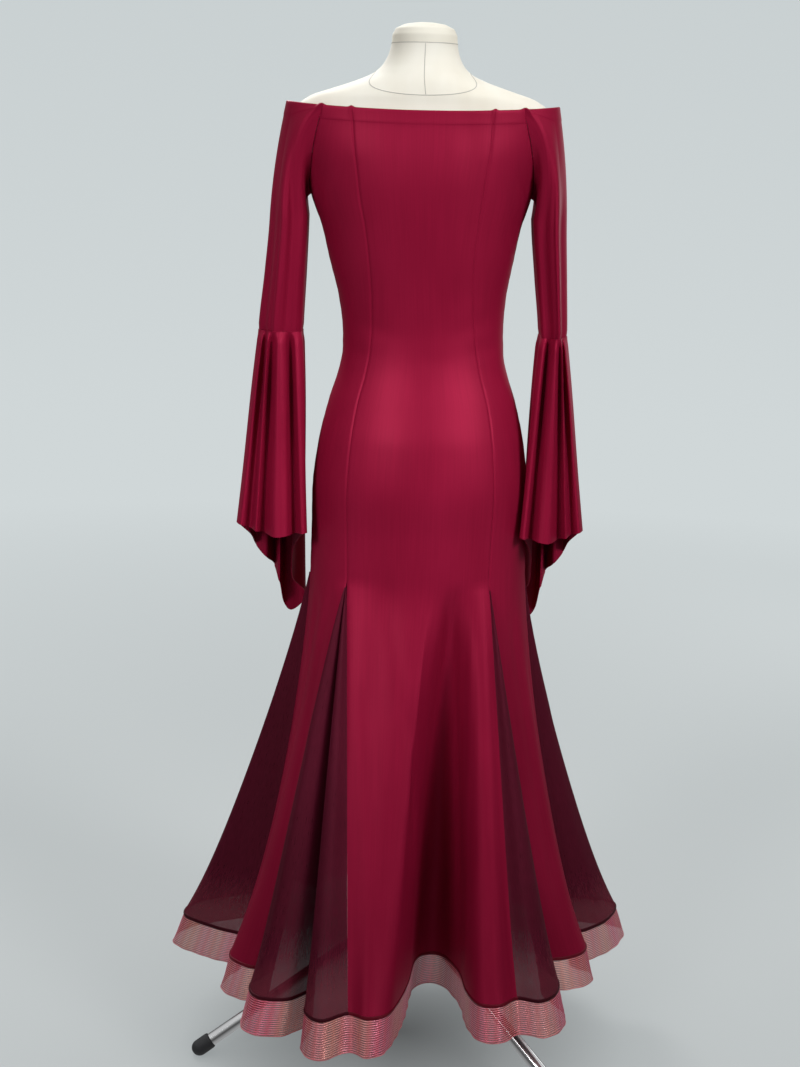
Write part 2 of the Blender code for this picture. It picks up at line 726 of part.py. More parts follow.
def make_sleeve(side):
    """A raglan sleeve: from the raglan seams and the neckline to its seam at the elbow."""
    mirror = side == "right"
    loop = sleeve_top_loop(side)
    count = len(loop)
    first_ring = SLEEVES[side][0][0]
    turns = [180.0 - 360.0 * column / count for column in range(count)]
    rows = []
    for share in SLEEVE_TOP_SHARES:
        row = []
        for top, turn in zip(loop, turns):
            ring = sleeve_ring_point(side, turn, first_ring, SLEEVE_FOLD_DEPTH * share)
            row.append(sleeve_top_point(top, ring, turn, share))
        rows.append(row)
    for height in (first_ring,) + SLEEVE_ROWS:
        rows.append([sleeve_ring_point(side, turn, height, SLEEVE_FOLD_DEPTH) for turn in turns])
    normals = tube_normals(rows, flip=mirror, level_row=len(rows) - 1)
    raglan_steps = (count - SHOULDER_STEPS) // 2
    outer = []
    inner = []
    for index, (row, line) in enumerate(zip(rows, normals)):
        raised = []
        for column, (point, normal) in enumerate(zip(row, line)):
            on_band = index < CASING_ROWS and raglan_steps < column < count - raglan_steps
            raised.append(point + normal * (CASING_LIFT if on_band else 0.0))
        outer.append(raised)
        inner.append([point - normal * WALL for point, normal in zip(row, line)])
    return wall_solid(f"sleeve_{side}", outer, inner, "wine_jersey", closed=True)


def flounce_hem(side):
    """The flounce's folded lower edge, one point for each column."""
    inner, outer = FLOUNCE_REACH[side]
    sign = 1.0 if side == "left" else -1.0
    spots = []
    for share, y, height in FLOUNCE_FOLDS:
        spots.append(Vector((sign * (inner + (outer - inner) * share), y, height)))
    count = len(spots)
    line = []
    for index in range(count):
        corners = [spots[(index + offset) % count] for offset in (-1, 0, 1, 2)]
        line += [cubic(*corners, step / FLOUNCE_STEPS_PER_FOLD) for step in range(FLOUNCE_STEPS_PER_FOLD)]
    return line


def make_flounce(side):
    """The bell flounce, from the elbow seam to its folded lower edge, longer towards the front."""
    hem = flounce_hem(side)
    count = len(hem)
    top = SLEEVES[side][-1][0] - SEAM_GAP
    rows = []
    for share in FLOUNCE_ROWS:
        row = []
        for column, low in enumerate(hem):
            turn = 360.0 * column / count
            high = sleeve_ring_point(side, turn, SLEEVES[side][-1][0], SLEEVE_FOLD_DEPTH)
            high.z = top
            row.append(high.lerp(low, share))
        rows.append(row)
    normals = tube_normals(rows, flip=side == "left", level_row=0)
    inner = [[point - normal * WALL for point, normal in zip(row, line)] for row, line in zip(rows, normals)]
    return wall_solid(f"flounce_{side}", rows, inner, "wine_jersey", closed=True)


def loft(name, rings, material_name, sharp_degrees=35.0):
    """A closed solid through rings of points, capped at both ends."""
    bm = bmesh.new()
    made = [[bm.verts.new(point) for point in ring] for ring in rings]
    count = len(made[0])
    for above, below in zip(made, made[1:]):
        for first in range(count):
            second = (first + 1) % count
            bm.faces.new((above[first], above[second], below[second], below[first]))
    bm.faces.new(made[0])
    bm.faces.new(made[-1])
    return add_object(name, bm, material_name, sharp_degrees)


def form_ring(height):
    """A section of the dress form, a little inside the cloth where the dress covers it."""
    ring = []
    for step in range(FORM_SEGMENTS):
        angle = 360.0 * step / FORM_SEGMENTS
        if height >= SHOULDERS[-1][0]:
            values = [table_value(SHOULDERS, SHOULDER_COLUMNS, name, height) for name in SHOULDER_COLUMNS[1:]]
            half_width, front, back, centre_x, centre_y = values
            x, y = oval(angle, half_width, front, back, torso_value("fullness", height))
            ring.append(Vector((x + centre_x, y + centre_y, height)))
        else:
            ring.append(torso_point(angle, height, inset=WALL + FORM_CLEARANCE))
    return ring


def make_form():
    """The form's body from its neck seam to its closed base, and the cap on its neck."""
    heights = [row[0] for row in SHOULDERS] + list(FORM_ROWS) + [FORM_BOTTOM]
    loft("form_body", [form_ring(height) for height in heights], "form_jersey")
    neck = SHOULDERS[0]
    rings = []
    for height, radius in CAP_PROFILE:
        ring = []
        for step in range(CAP_SEGMENTS):
            turn = 2.0 * math.pi * step / CAP_SEGMENTS
            centre_x = neck[SHOULDER_COLUMNS.index("centre_x")]
            centre_y = neck[SHOULDER_COLUMNS.index("centre_y")]
            ring.append(Vector((centre_x + radius * math.cos(turn), centre_y + radius * math.sin(turn), height)))
        rings.append(ring)
    loft("form_neck_cap", rings, "cap_jersey")


def turned(name, profile, material_name):
    """A solid turned round the pole's axis from (height, radius) pairs, top first."""
    rings = []
    for height, radius in profile:
        ring = []
        for step in range(ROUND_SEGMENTS):
            turn = 2.0 * math.pi * step / ROUND_SEGMENTS
            ring.append(Vector((radius * math.cos(turn), radius * math.sin(turn), height)))
        rings.append(ring)
    return loft(name, rings, material_name)


def rod(name, start, end, radius, material_name):
    """A round rod between two points."""
    axis = (end - start).normalized()
    side = axis.cross(Vector((0.0, 0.0, 1.0))).normalized()
    up = side.cross(axis)
    rings = []
    for centre in (start, end):
        ring = []
        for step in range(ROUND_SEGMENTS):
            turn = 2.0 * math.pi * step / ROUND_SEGMENTS
            ring.append(centre + side * radius * math.cos(turn) + up * radius * math.sin(turn))
        rings.append(ring)
    return loft(name, rings, material_name)


def cut_flat(made, height):
    """Cuts an object's mesh level at a height and closes it with a flat face."""
    bm = bmesh.new()
    bm.from_mesh(made.data)
    parts = bm.verts[:] + bm.edges[:] + bm.faces[:]
    cut = bmesh.ops.bisect_plane(bm, geom=parts, plane_co=(0.0, 0.0, height), plane_no=(0.0, 0.0, -1.0),
                                 clear_outer=True)
    edges = [item for item in cut["geom_cut"] if isinstance(item, bmesh.types.BMEdge)]
    bmesh.ops.contextual_create(bm, geom=edges)
    bmesh.ops.recalc_face_normals(bm, faces=bm.faces)
    bm.to_mesh(made.data)
    bm.free()


def make_stand():
    """The pole, the hub, and three legs that end in rubber feet cut level with the floor."""
    turned("stand_pole", ((FORM_BOTTOM - SEAM_GAP, POLE_RADIUS), (HUB_TOP + SEAM_GAP, POLE_RADIUS)), "chrome")
    turned("stand_hub", HUB_PROFILE, "chrome")
    for number, angle in enumerate(LEG_ANGLES, start=1):
        turn = math.radians(angle)
        out = Vector((math.cos(turn), math.sin(turn), 0.0))
        high = out * HUB_NECK + Vector((0.0, 0.0, LEG_START_HEIGHT))
        low = out * FOOT_REACH + Vector((0.0, 0.0, FOOT_AXIS_HEIGHT))
        axis = (low - high).normalized()
        foot_start = low - axis * (FOOT_LENGTH - FOOT_RADIUS)
        leg = rod(f"stand_leg_{number}", high, foot_start - axis * SEAM_GAP, LEG_RADIUS, "chrome")
        trim_leg(leg)
        foot = rod(f"stand_foot_{number}", foot_start, low + axis * FOOT_RADIUS, FOOT_RADIUS, "rubber")
        cut_flat(foot, 0.0)


def trim_leg(leg):
    """Shapes the leg's upper end to the hub's round side."""
    rings = []
    for height in (HUB_TOP + HUB_RADIUS, HUB_BOTTOM - HUB_RADIUS):
        ring = []
        for step in range(2 * ROUND_SEGMENTS):
            turn = math.pi * step / ROUND_SEGMENTS
            reach = HUB_RADIUS + SEAM_GAP
            ring.append(Vector((reach * math.cos(turn), reach * math.sin(turn), height)))
        rings.append(ring)
    cutter = loft(f"{leg.name}_cutter", rings, "chrome")
    cutter.hide_render = True
    cutter.display_type = "WIRE"
    cut = leg.modifiers.new("hub_side", "BOOLEAN")
    cut.operation = "DIFFERENCE"
    cut.object = cutter


clear_scene()
make_body_pieces()
make_hem_strip("binding", HEM - SEAM_GAP, BINDING_BOTTOM, BINDING_WALL, (BINDING_WALL - WALL) / 2, "binding_satin")
make_hem_strip("braid", BINDING_BOTTOM - SEAM_GAP, BRAID_BOTTOM, BRAID_WALL, 0.0, "horsehair_braid")
for arm in ("left", "right"):
    make_sleeve(arm)
    make_flounce(arm)
make_form()
make_stand()
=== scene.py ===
"""Looks of an off-the-shoulder gown on a limbless dress form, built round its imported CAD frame.

The gown's front faces -Y and its back +Y, and the wearer's left is +X. The origin is on the floor, under
the pole. Angles are degrees round the pole: 0 is the wearer's left side, 90 the back, 270 the front. Sizes
are metres.
"""
import math

import bpy
import numpy as np
from mathutils import Matrix, Vector


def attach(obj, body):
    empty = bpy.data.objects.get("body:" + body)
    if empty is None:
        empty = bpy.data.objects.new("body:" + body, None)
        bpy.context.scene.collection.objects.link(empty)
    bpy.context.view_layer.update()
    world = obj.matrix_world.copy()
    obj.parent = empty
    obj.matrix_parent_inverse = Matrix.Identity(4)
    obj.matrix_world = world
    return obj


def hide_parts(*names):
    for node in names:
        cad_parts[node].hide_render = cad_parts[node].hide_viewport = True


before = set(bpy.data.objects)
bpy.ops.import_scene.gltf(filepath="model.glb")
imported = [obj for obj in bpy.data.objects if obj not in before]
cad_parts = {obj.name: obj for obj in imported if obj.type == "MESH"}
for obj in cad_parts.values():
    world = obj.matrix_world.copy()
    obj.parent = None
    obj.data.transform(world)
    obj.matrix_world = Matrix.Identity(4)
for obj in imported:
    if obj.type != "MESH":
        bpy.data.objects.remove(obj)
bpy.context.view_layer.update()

# Cloth
WALL = 0.0012
MESH_WALL = 0.0005
WALL_SHARP_DEGREES = 55.0
CASING_HEIGHT = 0.020

# Neckline: its height over the shoulders, and how far it dips at the back, the front and the upper arms
NECK_TOP = 1.467
NECK_DIP_BACK = 0.010
NECK_DIP_FRONT = 0.028
NECK_DIP_SIDE = -0.001
NECK_SIDE_POWER = 12

# Bodice and hips: sections of the cloth's outside
HALF_WIDTH, FRONT, BACK, CENTRE_X, FULLNESS, PRINCESS, RAGLAN = range(1, 8)
TORSO = (
    # height, half width, front, back, centre x, fullness, princess seam's angle, raglan seam's angle
    (1.467, 0.1990, 0.080, 0.086, 0.0045, 2.10, 60.0, 45.0),
    (1.440, 0.1930, 0.086, 0.091, 0.0045, 2.10, 60.0, 40.0),
    (1.400, 0.1800, 0.099, 0.100, 0.0040, 2.10, 58.5, 29.0),
    (1.365, 0.1690, 0.110, 0.104, 0.0040, 2.05, 57.5, 16.0),
    (1.335, 0.1620, 0.120, 0.104, 0.0040, 2.00, 57.0, 0.0),
    (1.290, 0.1470, 0.124, 0.101, 0.0025, 2.00, 56.5, 0.0),
    (1.240, 0.1360, 0.114, 0.095, 0.0010, 2.00, 56.0, 0.0),
    (1.190, 0.1250, 0.100, 0.088, -0.0015, 2.00, 53.5, 0.0),
    (1.135, 0.1200, 0.090, 0.084, -0.0040, 2.00, 50.5, 0.0),
    (1.085, 0.1245, 0.094, 0.090, -0.0050, 2.00, 48.0, 0.0),
    (1.035, 0.1400, 0.102, 0.105, -0.0055, 2.00, 46.5, 0.0),
    (0.980, 0.1535, 0.108, 0.122, -0.0055, 2.00, 47.0, 0.0),
    (0.910, 0.1630, 0.110, 0.131, -0.0055, 2.00, 48.0, 0.0),
    (0.840, 0.1640, 0.110, 0.125, -0.0055, 2.00, 49.0, 0.0),
    (0.772, 0.1650, 0.112, 0.122, -0.0055, 2.00, 50.0, 0.0),
)
ARMPIT = 1.335
GODET_TOP = 0.772
BUST_HEIGHT = 1.295
BUST_ANGLE = 37.0
BUST_LIFT = 0.012
BUST_SPREAD_HEIGHT = 0.055
BUST_SPREAD_ANGLE = 20.0

# Hem: the cloth's lower edge, its binding, and the horsehair braid under it
HEM = 0.183
BINDING_BOTTOM = 0.178
BRAID_BOTTOM = 0.130
BRAID_FLARE = 1.1
HEM_FLIP = 0.06
HEM_FLIP_POWER = 9
FLARE_EASE = 0.08
SEAM_REACH = 0.28
HEM_FOLDS = {
    # piece: angle, radius, and the power that the fold opens with going down
    "godet_side_left": (
        (-29.0, 0.268, 1.35), (-22.0, 0.302, 1.15), (-13.0, 0.350, 1.05), (-4.0, 0.357, 1.05),
        (4.0, 0.302, 1.10),
    ),
    "panel_side_back_left": (
        (11.0, 0.256, 1.45), (17.0, 0.275, 1.50), (25.0, 0.296, 1.50), (34.0, 0.284, 1.40),
    ),
    "godet_back_left": (
        (39.0, 0.256, 0.95), (43.5, 0.316, 0.80), (50.0, 0.336, 0.82), (57.0, 0.314, 0.85),
        (60.0, 0.268, 0.95), (64.0, 0.330, 0.85), (70.0, 0.349, 0.85),
    ),
    "panel_centre_back": (
        (75.0, 0.314, 1.00), (80.5, 0.322, 1.05), (85.2, 0.306, 0.92), (88.0, 0.266, 0.80),
        (91.5, 0.202, 0.75), (97.5, 0.124, 0.72), (109.0, 0.103, 0.72), (120.0, 0.120, 0.74),
        (117.5, 0.180, 0.84), (112.5, 0.240, 0.96), (112.5, 0.285, 1.05), (117.5, 0.302, 1.05),
    ),
    "godet_back_right": (
        (124.5, 0.294, 1.00), (128.5, 0.320, 0.80), (135.0, 0.318, 0.85), (142.0, 0.294, 0.95),
        (146.5, 0.256, 1.05),
    ),
    "panel_side_back_right": (
        (151.0, 0.236, 1.20), (157.5, 0.268, 1.20), (164.0, 0.290, 1.15), (171.0, 0.288, 1.15),
    ),
    "godet_side_right": (
        (176.0, 0.258, 1.30), (181.5, 0.296, 1.25), (189.0, 0.338, 1.25), (198.0, 0.366, 1.25),
        (205.0, 0.320, 1.30),
    ),
    "panel_side_front_right": (
        (210.0, 0.272, 1.30), (217.0, 0.306, 1.35), (224.0, 0.310, 1.35),
    ),
    "godet_front_right": (
        (229.0, 0.276, 1.10), (234.0, 0.328, 0.95), (239.5, 0.330, 0.95), (243.5, 0.284, 1.05),
        (248.0, 0.326, 0.95),
    ),
    "panel_centre_front": (
        (253.0, 0.318, 1.10), (259.5, 0.326, 1.20), (266.0, 0.272, 1.15), (273.0, 0.244, 1.10),
        (279.5, 0.282, 1.15), (286.0, 0.328, 1.20),
    ),
    "godet_front_left": (
        (291.5, 0.316, 1.10), (296.0, 0.332, 0.95), (300.5, 0.288, 1.05), (304.5, 0.334, 0.95),
        (310.0, 0.330, 0.95),
    ),
    "panel_side_front_left": (
        (315.0, 0.278, 1.30), (321.0, 0.312, 1.35), (327.0, 0.306, 1.35),
    ),
}
# How a panel's width above the godets is shared out along its hem, where one deep fold takes most of it
WIDTH_SHARES = {
    # share of the hem, share of the width above it
    "panel_centre_back": ((0.0, 0.0), (0.13, 0.57), (0.30, 0.66), (0.56, 0.77), (0.80, 0.87), (1.0, 1.0)),
}
EVEN_WIDTH = ((0.0, 0.0), (1.0, 1.0))
DENSE_STEPS = 24
COLUMN_SPACING = 0.0052
ROW_SPACING = 0.0095

# Depths of the casing's rows under the neckline: a rolled top edge, the band, its stitch line and the body
CASING_ROWS = (
    0.0, 0.0006, 0.0018, 0.0050, 0.0100, 0.0150, 0.0182, 0.0194, 0.0200, 0.0206, 0.0218, 0.0250, 0.0300
)
# How far each of them stands proud
CASING_LIFTS = (
    -0.0004, 0.0003, 0.0007, 0.0006, 0.0005, 0.0005, 0.0005, 0.0003, 0.0001, 0.0001, 0.0, 0.0, 0.0
)
BAND_END = 1.385
BAND_STEPS = 5
TUCK_HEIGHT = 0.0022
TUCK_LIFT = 0.0012
TUCK_SPREAD = 0.0036
TUCK_FADE_START = 0.003
TUCK_EDGE_FADE = (0.002, 0.012)

# Seams: a groove along each panel's edge, with faint puckers beside it
SEAM_DEPTH = 0.0010
SEAM_SPREAD = 0.0017
PUCKER_DEPTH = 0.00028
PUCKER_SPREAD = 0.010
PUCKER_LENGTH = 0.021
PUCKER_GAP = 0.003
PUCKER_DRIFT = 1.7
PUCKER_DRIFT_RATE = 61.0
LOW_GROOVE_SHARE = 0.25
LOW_GROOVE_FADE = 0.03
EDGE_STEPS = (0.0, 0.0011, 0.0022, 0.0035, 0.0052, 0.0075)

# Soft creases pressed into the bodice and hips
BODY_CREASES = (
    # angle, height, half length, half width, depth, lean from upright in degrees
    (158.0, 1.338, 0.050, 0.0085, 0.0022, -48.0),
    (150.0, 1.305, 0.060, 0.0110, 0.0016, -38.0),
    (22.0, 1.332, 0.040, 0.0080, 0.0018, 46.0),
    (30.0, 1.296, 0.045, 0.0100, 0.0012, 36.0),
    (128.0, 1.152, 0.042, 0.0100, 0.0011, 74.0),
    (142.0, 1.118, 0.038, 0.0090, 0.0013, 84.0),
    (52.0, 1.146, 0.036, 0.0090, 0.0012, -78.0),
    (38.0, 1.108, 0.034, 0.0085, 0.0013, -86.0),
    (98.0, 1.100, 0.040, 0.0120, 0.0009, 88.0),
    (80.0, 1.400, 0.060, 0.0160, 0.0008, 12.0),
    (112.0, 1.392, 0.070, 0.0180, 0.0010, -16.0),
    (66.0, 0.845, 0.060, 0.0170, 0.0012, 8.0),
    (118.0, 0.838, 0.070, 0.0180, 0.0013, -9.0),
    (204.0, 1.330, 0.050, 0.0085, 0.0020, 44.0),
    (335.0, 1.334, 0.048, 0.0085, 0.0021, -45.0),
    (232.0, 1.228, 0.050, 0.0110, 0.0014, 30.0),
    (306.0, 1.232, 0.052, 0.0110, 0.0015, -32.0),
    (248.0, 1.130, 0.042, 0.0100, 0.0012, 82.0),
    (290.0, 1.118, 0.040, 0.0100, 0.0012, -84.0),
    (270.0, 1.094, 0.044, 0.0110, 0.0009, 88.0),
    (262.0, 1.398, 0.050, 0.0150, 0.0010, 14.0),
    (284.0, 1.402, 0.046, 0.0140, 0.0010, -18.0),
    (226.0, 0.850, 0.060, 0.0160, 0.0012, 8.0),
    (312.0, 0.846, 0.060, 0.0160, 0.0012, -8.0),
    (180.0, 1.100, 0.030, 0.0090, 0.0011, 86.0),
    (0.0, 1.104, 0.030, 0.0090, 0.0011, -86.0),
)
BODY_CREASE_END = 0.70
# Soft troughs that run down the skirt
SKIRT_CREASES = (
    # piece, share of its width, half width, depth, top, bottom
    ("panel_centre_back", 0.30, 0.010, 0.0020, 0.80, 0.40),
    ("panel_centre_back", 0.70, 0.012, 0.0022, 0.78, 0.34),
    ("panel_centre_back", 0.10, 0.008, 0.0014, 0.64, 0.22),
    ("panel_side_back_left", 0.46, 0.012, 0.0026, 0.76, 0.26),
    ("panel_side_back_left", 0.78, 0.008, 0.0016, 0.60, 0.20),
    ("panel_side_back_right", 0.42, 0.011, 0.0024, 0.74, 0.24),
    ("panel_side_back_right", 0.72, 0.009, 0.0018, 0.66, 0.22),
    ("panel_side_front_left", 0.48, 0.012, 0.0024, 0.74, 0.28),
    ("panel_side_front_right", 0.52, 0.011, 0.0022, 0.72, 0.25),
    ("panel_centre_front", 0.24, 0.011, 0.0022, 0.76, 0.32),
    ("panel_centre_front", 0.71, 0.012, 0.0024, 0.74, 0.30),
    ("godet_back_left", 0.25, 0.007, 0.0014, 0.56, 0.24),
    ("godet_side_left", 0.36, 0.009, 0.0018, 0.58, 0.24),
    ("godet_side_right", 0.62, 0.009, 0.0018, 0.56, 0.26),
    ("godet_front_right", 0.40, 0.007, 0.0014, 0.52, 0.24),
    ("godet_front_left", 0.58, 0.007, 0.0014, 0.54, 0.23),
)
SKIRT_CREASE_FADE = 0.05

# Sleeves: horizontal sections below the armpit
INNER, OUTER, HALF_DEPTH, CENTRE_Y = range(1, 5)
SLEEVES = {
    # height, inner edge, outer edge, half depth, centre y
    "left": (
        (1.305, 0.1680, 0.2240, 0.050, 0.000),
        (1.222, 0.1705, 0.2310, 0.046, -0.001),
        (1.134, 0.1740, 0.2400, 0.038, -0.002),
    ),
    "right": (
        (1.305, 0.1600, 0.2095, 0.052, 0.000),
        (1.222, 0.1680, 0.2135, 0.050, -0.001),
        (1.134, 0.1775, 0.2175, 0.047, -0.002),
    ),
}
SLEEVE_FOLDS = 5
SLEEVE_FOLD_DEPTH = 0.0028
SHOULDER_STEPS = 12
SHOULDER_BULGE = 0.008
RAGLAN_HEIGHTS = (1.365, 1.400)
RAGLAN_CORNER = 0.15
RAGLAN_PUSH = 0.009
RAGLAN_TURN = 50.0
SLEEVE_COLUMNS_PER_STEP = 8
SLEEVE_COLUMN_SPACING = 0.0022
SLEEVE_TOP_LENGTH = 0.160
SLEEVE_TOP_ROWS = 16
SLEEVE_CREASES = {
    # turn round the sleeve (90 is its back, 0 its outer side), half width in degrees, depth, top, bottom
    "left": (
        (104.0, 12.0, 0.0020, 1.41, 1.15), (62.0, 9.0, 0.0024, 1.36, 1.12),
        (30.0, 11.0, 0.0014, 1.31, 1.12), (140.0, 10.0, 0.0012, 1.30, 1.14),
        (-50.0, 11.0, 0.0021, 1.38, 1.12), (-92.0, 9.0, 0.0020, 1.34, 1.12),
        (-128.0, 10.0, 0.0013, 1.30, 1.13),
    ),
    "right": (
        (84.0, 9.0, 0.0030, 1.40, 1.12), (122.0, 12.0, 0.0016, 1.33, 1.12),
        (44.0, 11.0, 0.0016, 1.36, 1.14), (-62.0, 10.0, 0.0021, 1.39, 1.12),
        (-100.0, 11.0, 0.0018, 1.33, 1.12), (-138.0, 10.0, 0.0012, 1.30, 1.13),
    ),
}
# How far below and above its bottom, and below its top, a sleeve's crease fades
SLEEVE_CREASE_FADES = (0.03, 0.01, 0.09)

# Flounces: reach of their lower edge inwards and outwards, and the folds along it
FLOUNCE_REACH = {"left": (0.1595, 0.2716), "right": (0.1535, 0.2544)}
FLOUNCE_FOLDS = (
    # share from the inner reach to the outer, y, height
    (0.97, 0.004, 0.838), (1.00, 0.024, 0.843), (0.92, 0.052, 0.844), (0.80, 0.042, 0.839),
    (0.71, 0.066, 0.838), (0.62, 0.048, 0.834), (0.46, 0.078, 0.832), (0.29, 0.077, 0.834),
    (0.19, 0.056, 0.835), (0.09, 0.078, 0.838), (0.02, 0.068, 0.838), (0.12, 0.046, 0.828),
    (0.22, 0.018, 0.804), (0.26, -0.010, 0.774), (0.25, -0.036, 0.742), (0.10, -0.066, 0.716),
    (0.14, -0.094, 0.692), (0.31, -0.100, 0.676), (0.42, -0.094, 0.690), (0.46, -0.062, 0.730),
    (0.55, -0.084, 0.754), (0.64, -0.052, 0.772), (0.80, -0.064, 0.790), (0.85, -0.034, 0.812),
    (0.98, -0.024, 0.828),
)
FLOUNCE_COLUMNS_PER_FOLD = 9
FLOUNCE_ROW_COUNT = 46
FLOUNCE_ROW_POWER = 1.25
GATHER_DEPTH = 0.75
GATHER_PLACE = 0.22
GATHER_SPREAD = 0.38
GATHER_START = 0.04

# Dress form and stand
FORM_CLEARANCE = 0.0026
FORM_BOTTOM = 0.800
SHOULDERS = (
    # height, half width, front, back, centre x, centre y
    (1.552, 0.0480, 0.046, 0.048, 0.0045, 0.004),
    (1.535, 0.0520, 0.049, 0.050, 0.0050, 0.006),
    (1.520, 0.0600, 0.054, 0.055, 0.0055, 0.008),
    (1.508, 0.0740, 0.060, 0.062, 0.0060, 0.008),
    (1.498, 0.0980, 0.066, 0.069, 0.0060, 0.006),
    (1.488, 0.1280, 0.071, 0.074, 0.0055, 0.004),
    (1.477, 0.1620, 0.074, 0.078, 0.0050, 0.002),
    (1.462, 0.1830, 0.077, 0.081, 0.0045, 0.000),
    (1.440, 0.1860, 0.083, 0.086, 0.0045, 0.000),
    (1.400, 0.1640, 0.093, 0.094, 0.0040, 0.000),
    (1.365, 0.1530, 0.104, 0.098, 0.0040, 0.000),
)
CAP_PROFILE = (
    # height, radius
    (1.5524, 0.0478), (1.5640, 0.0470), (1.5730, 0.0425), (1.5790, 0.0300), (1.5816, 0.0140), (1.5816, 0.0),
)
CAP_ROWS = 32
CAP_COLUMNS = 96
FORM_COLUMNS = 144
FORM_FINE_END = 1.44
FORM_FINE_SPACING = 0.003
FORM_SPACING = 0.012
# The form's rounded lower edge: drop, inset
FORM_EDGE = ((0.0025, 0.0006), (0.0048, 0.0024), (0.006, 0.006))
COLLAR_TOP = 1.512
COLLAR_DIP_BACK = 0.034
COLLAR_DIP_FRONT = 0.052
NECK_SEAM_ANGLE = 91.0
NECK_SEAM_ENDS = (1.551, 1.479)
FORM_SEAM_RADIUS = 0.0006
CORD_SIDES = 6
POLE_RADIUS = 0.014
POLE_TOP_GAP = 0.0003
POLE_REACH = 0.001
TUBE_ROWS = 9
TUBE_COLUMNS = 48
HUB_COLUMNS = 64
FOOT_COLUMNS = 40
HUB_PROFILE = (
    # height, radius
    (0.240, 0.0160), (0.2395, 0.0190), (0.2375, 0.0200), (0.232, 0.0220), (0.2260, 0.0280),
    (0.2230, 0.0300), (0.2060, 0.0300), (0.2045, 0.0292), (0.2030, 0.0300), (0.1750, 0.0300),
    (0.1715, 0.0285), (0.1660, 0.0215), (0.1650, 0.0190), (0.1650, 0.0),
)
LEG_RADIUS = 0.010
LEG_ANGLES = (17.0, 137.0, 257.0)
LEG_START = 0.029
LEG_START_HEIGHT = 0.1985
FOOT_REACH = 0.333
FOOT_AXIS_HEIGHT = 0.012
FOOT_RADIUS = 0.0125
FOOT_LENGTH = 0.034
# The foot's sleeve: distance along the leg, radius
FOOT_PROFILE = ((0.0, 0.0101), (0.0002, 0.0113), (0.0012, 0.0122), (0.0040, 0.0126), (0.0140, 0.0127))
FOOT_DOME_STEPS = 8
FOOT_TIP_SHARE = 0.02
FOOT_SWELL = 1.01

# Binding and braid
BINDING_HALF_HEIGHT = 0.0029
BINDING_HALF_THICKNESS = 0.0015
BINDING_SIDES = 10
BINDING_POWER = 0.8
TUBE_MAP_STEP = 0.0012
BRAID_WALL = 0.0004
BRAID_GAP = 0.0012
BRAID_ROWS = 9
BRAID_RIPPLE = 0.0007
BRAID_RIPPLE_LENGTH = 0.034
BRAID_RIPPLE_DRIFT = 2.0
BRAID_DRIFT_RATE = 13.0
BRAID_EDGE_RADIUS = 0.0006
THREAD_SPACING = 0.0030
THREAD_SLANTS = (2.5, -9.0)

# Heights between which the mesh goes from see-through to nearly opaque, and from paler, with painted light
# seen through it, to its own dark tone
SHEER_LOW = 0.205
SHEER_HIGH = 0.285

# Tones from dark to light, each with its place on a scale from 0 to 1
JERSEY_TONES = (
    (0.30, (0.200, 0.0042, 0.0245)), (0.50, (0.234, 0.0054, 0.0295)), (0.72, (0.268, 0.0068, 0.0355))
)
# the mesh's lightest tone shows low down, where the height adds painted light
MESH_TONES = ((0.3, (0.060, 0.0030, 0.0110)), (0.65, (0.086, 0.0048, 0.0175)), (1.0, (0.170, 0.022, 0.040)))
BRAID_TAN = ((0.15, (0.34, 0.075, 0.055)), (0.45, (0.74, 0.240, 0.185)), (0.85, (1.00, 0.48, 0.44)))
# pink for random patches of painted glint on the braid
BRAID_PINK_PAINTED_GLINT = ((0.15, (0.34, 0.014, 0.038)), (0.45, (0.80, 0.080, 0.140)), (0.85, (1.00, 0.30, 0.46)))

PLAIN_FINISHES = {
    # slot: darker colour, lighter colour, roughness, and what else differs
    "binding_satin": ((0.100, 0.002, 0.010), (0.140, 0.003, 0.015), 0.45, {"specular": 0.12}),
    # the same satin binding, darker as painted shade
    "binding_satin_painted_shade": ((0.034, 0.001, 0.005), (0.050, 0.002, 0.008), 0.5, {"specular": 0.10}),
    "braid_edge": ((0.42, 0.10, 0.12), (0.60, 0.20, 0.22), 0.35, {}),
    "form_jersey": ((0.74, 0.70, 0.60), (0.82, 0.80, 0.72), 0.75, {"grain": 900.0}),
    "cap_jersey": ((0.76, 0.72, 0.61), (0.82, 0.79, 0.69), 0.75, {"grain": 900.0}),
    "form_seam": ((0.42, 0.40, 0.36), (0.52, 0.50, 0.46), 0.8, {}),
    "chrome": ((0.72, 0.73, 0.74), (0.82, 0.83, 0.84), 0.12, {"metallic": 1.0, "grain": 60.0, "bump": 0.0}),
    "rubber": ((0.030, 0.032, 0.036), (0.050, 0.053, 0.058), 0.62, {"grain": 700.0}),
}

# Floor and wall: how far from the pole, and how bright there; the glow is dimmed under the skirt as a painted
# shadow, where little light gets in
FLOOR_RADIUS = 7.0
FLOOR_RISE = 5.0
FLOOR_COLUMNS = 96
FLOOR_BEND_STEPS = 12
FLOOR_GLOW_AND_PAINTED_SHADOW = ((0.0, 0.08), (0.16, 0.18), (0.36, 0.31), (0.60, 0.33), (4.5, 0.50))
# Brightness of the room from straight down (0) to straight up (1)
ROOM_GLOW = ((0.0, 0.45), (0.25, 0.26), (0.44, 0.09), (0.52, 0.10), (0.64, 0.20), (0.86, 0.62), (1.0, 0.88))

# Camera, solved from the photograph of 800 by 1067 pixels
CAMERA_PLACE = (0.023, 2.7, 1.40)
CAMERA_PITCH = 12.0
CAMERA_ROLL = 1.4
FOCAL_PIXELS = 1800.0
IMAGE_HEIGHT = 1067.0
SENSOR = 36.0

EAST = (1.0, 0.0, 0.0)
NORTH = (0.0, 1.0, 0.0)
UP = (0.0, 0.0, 1.0)


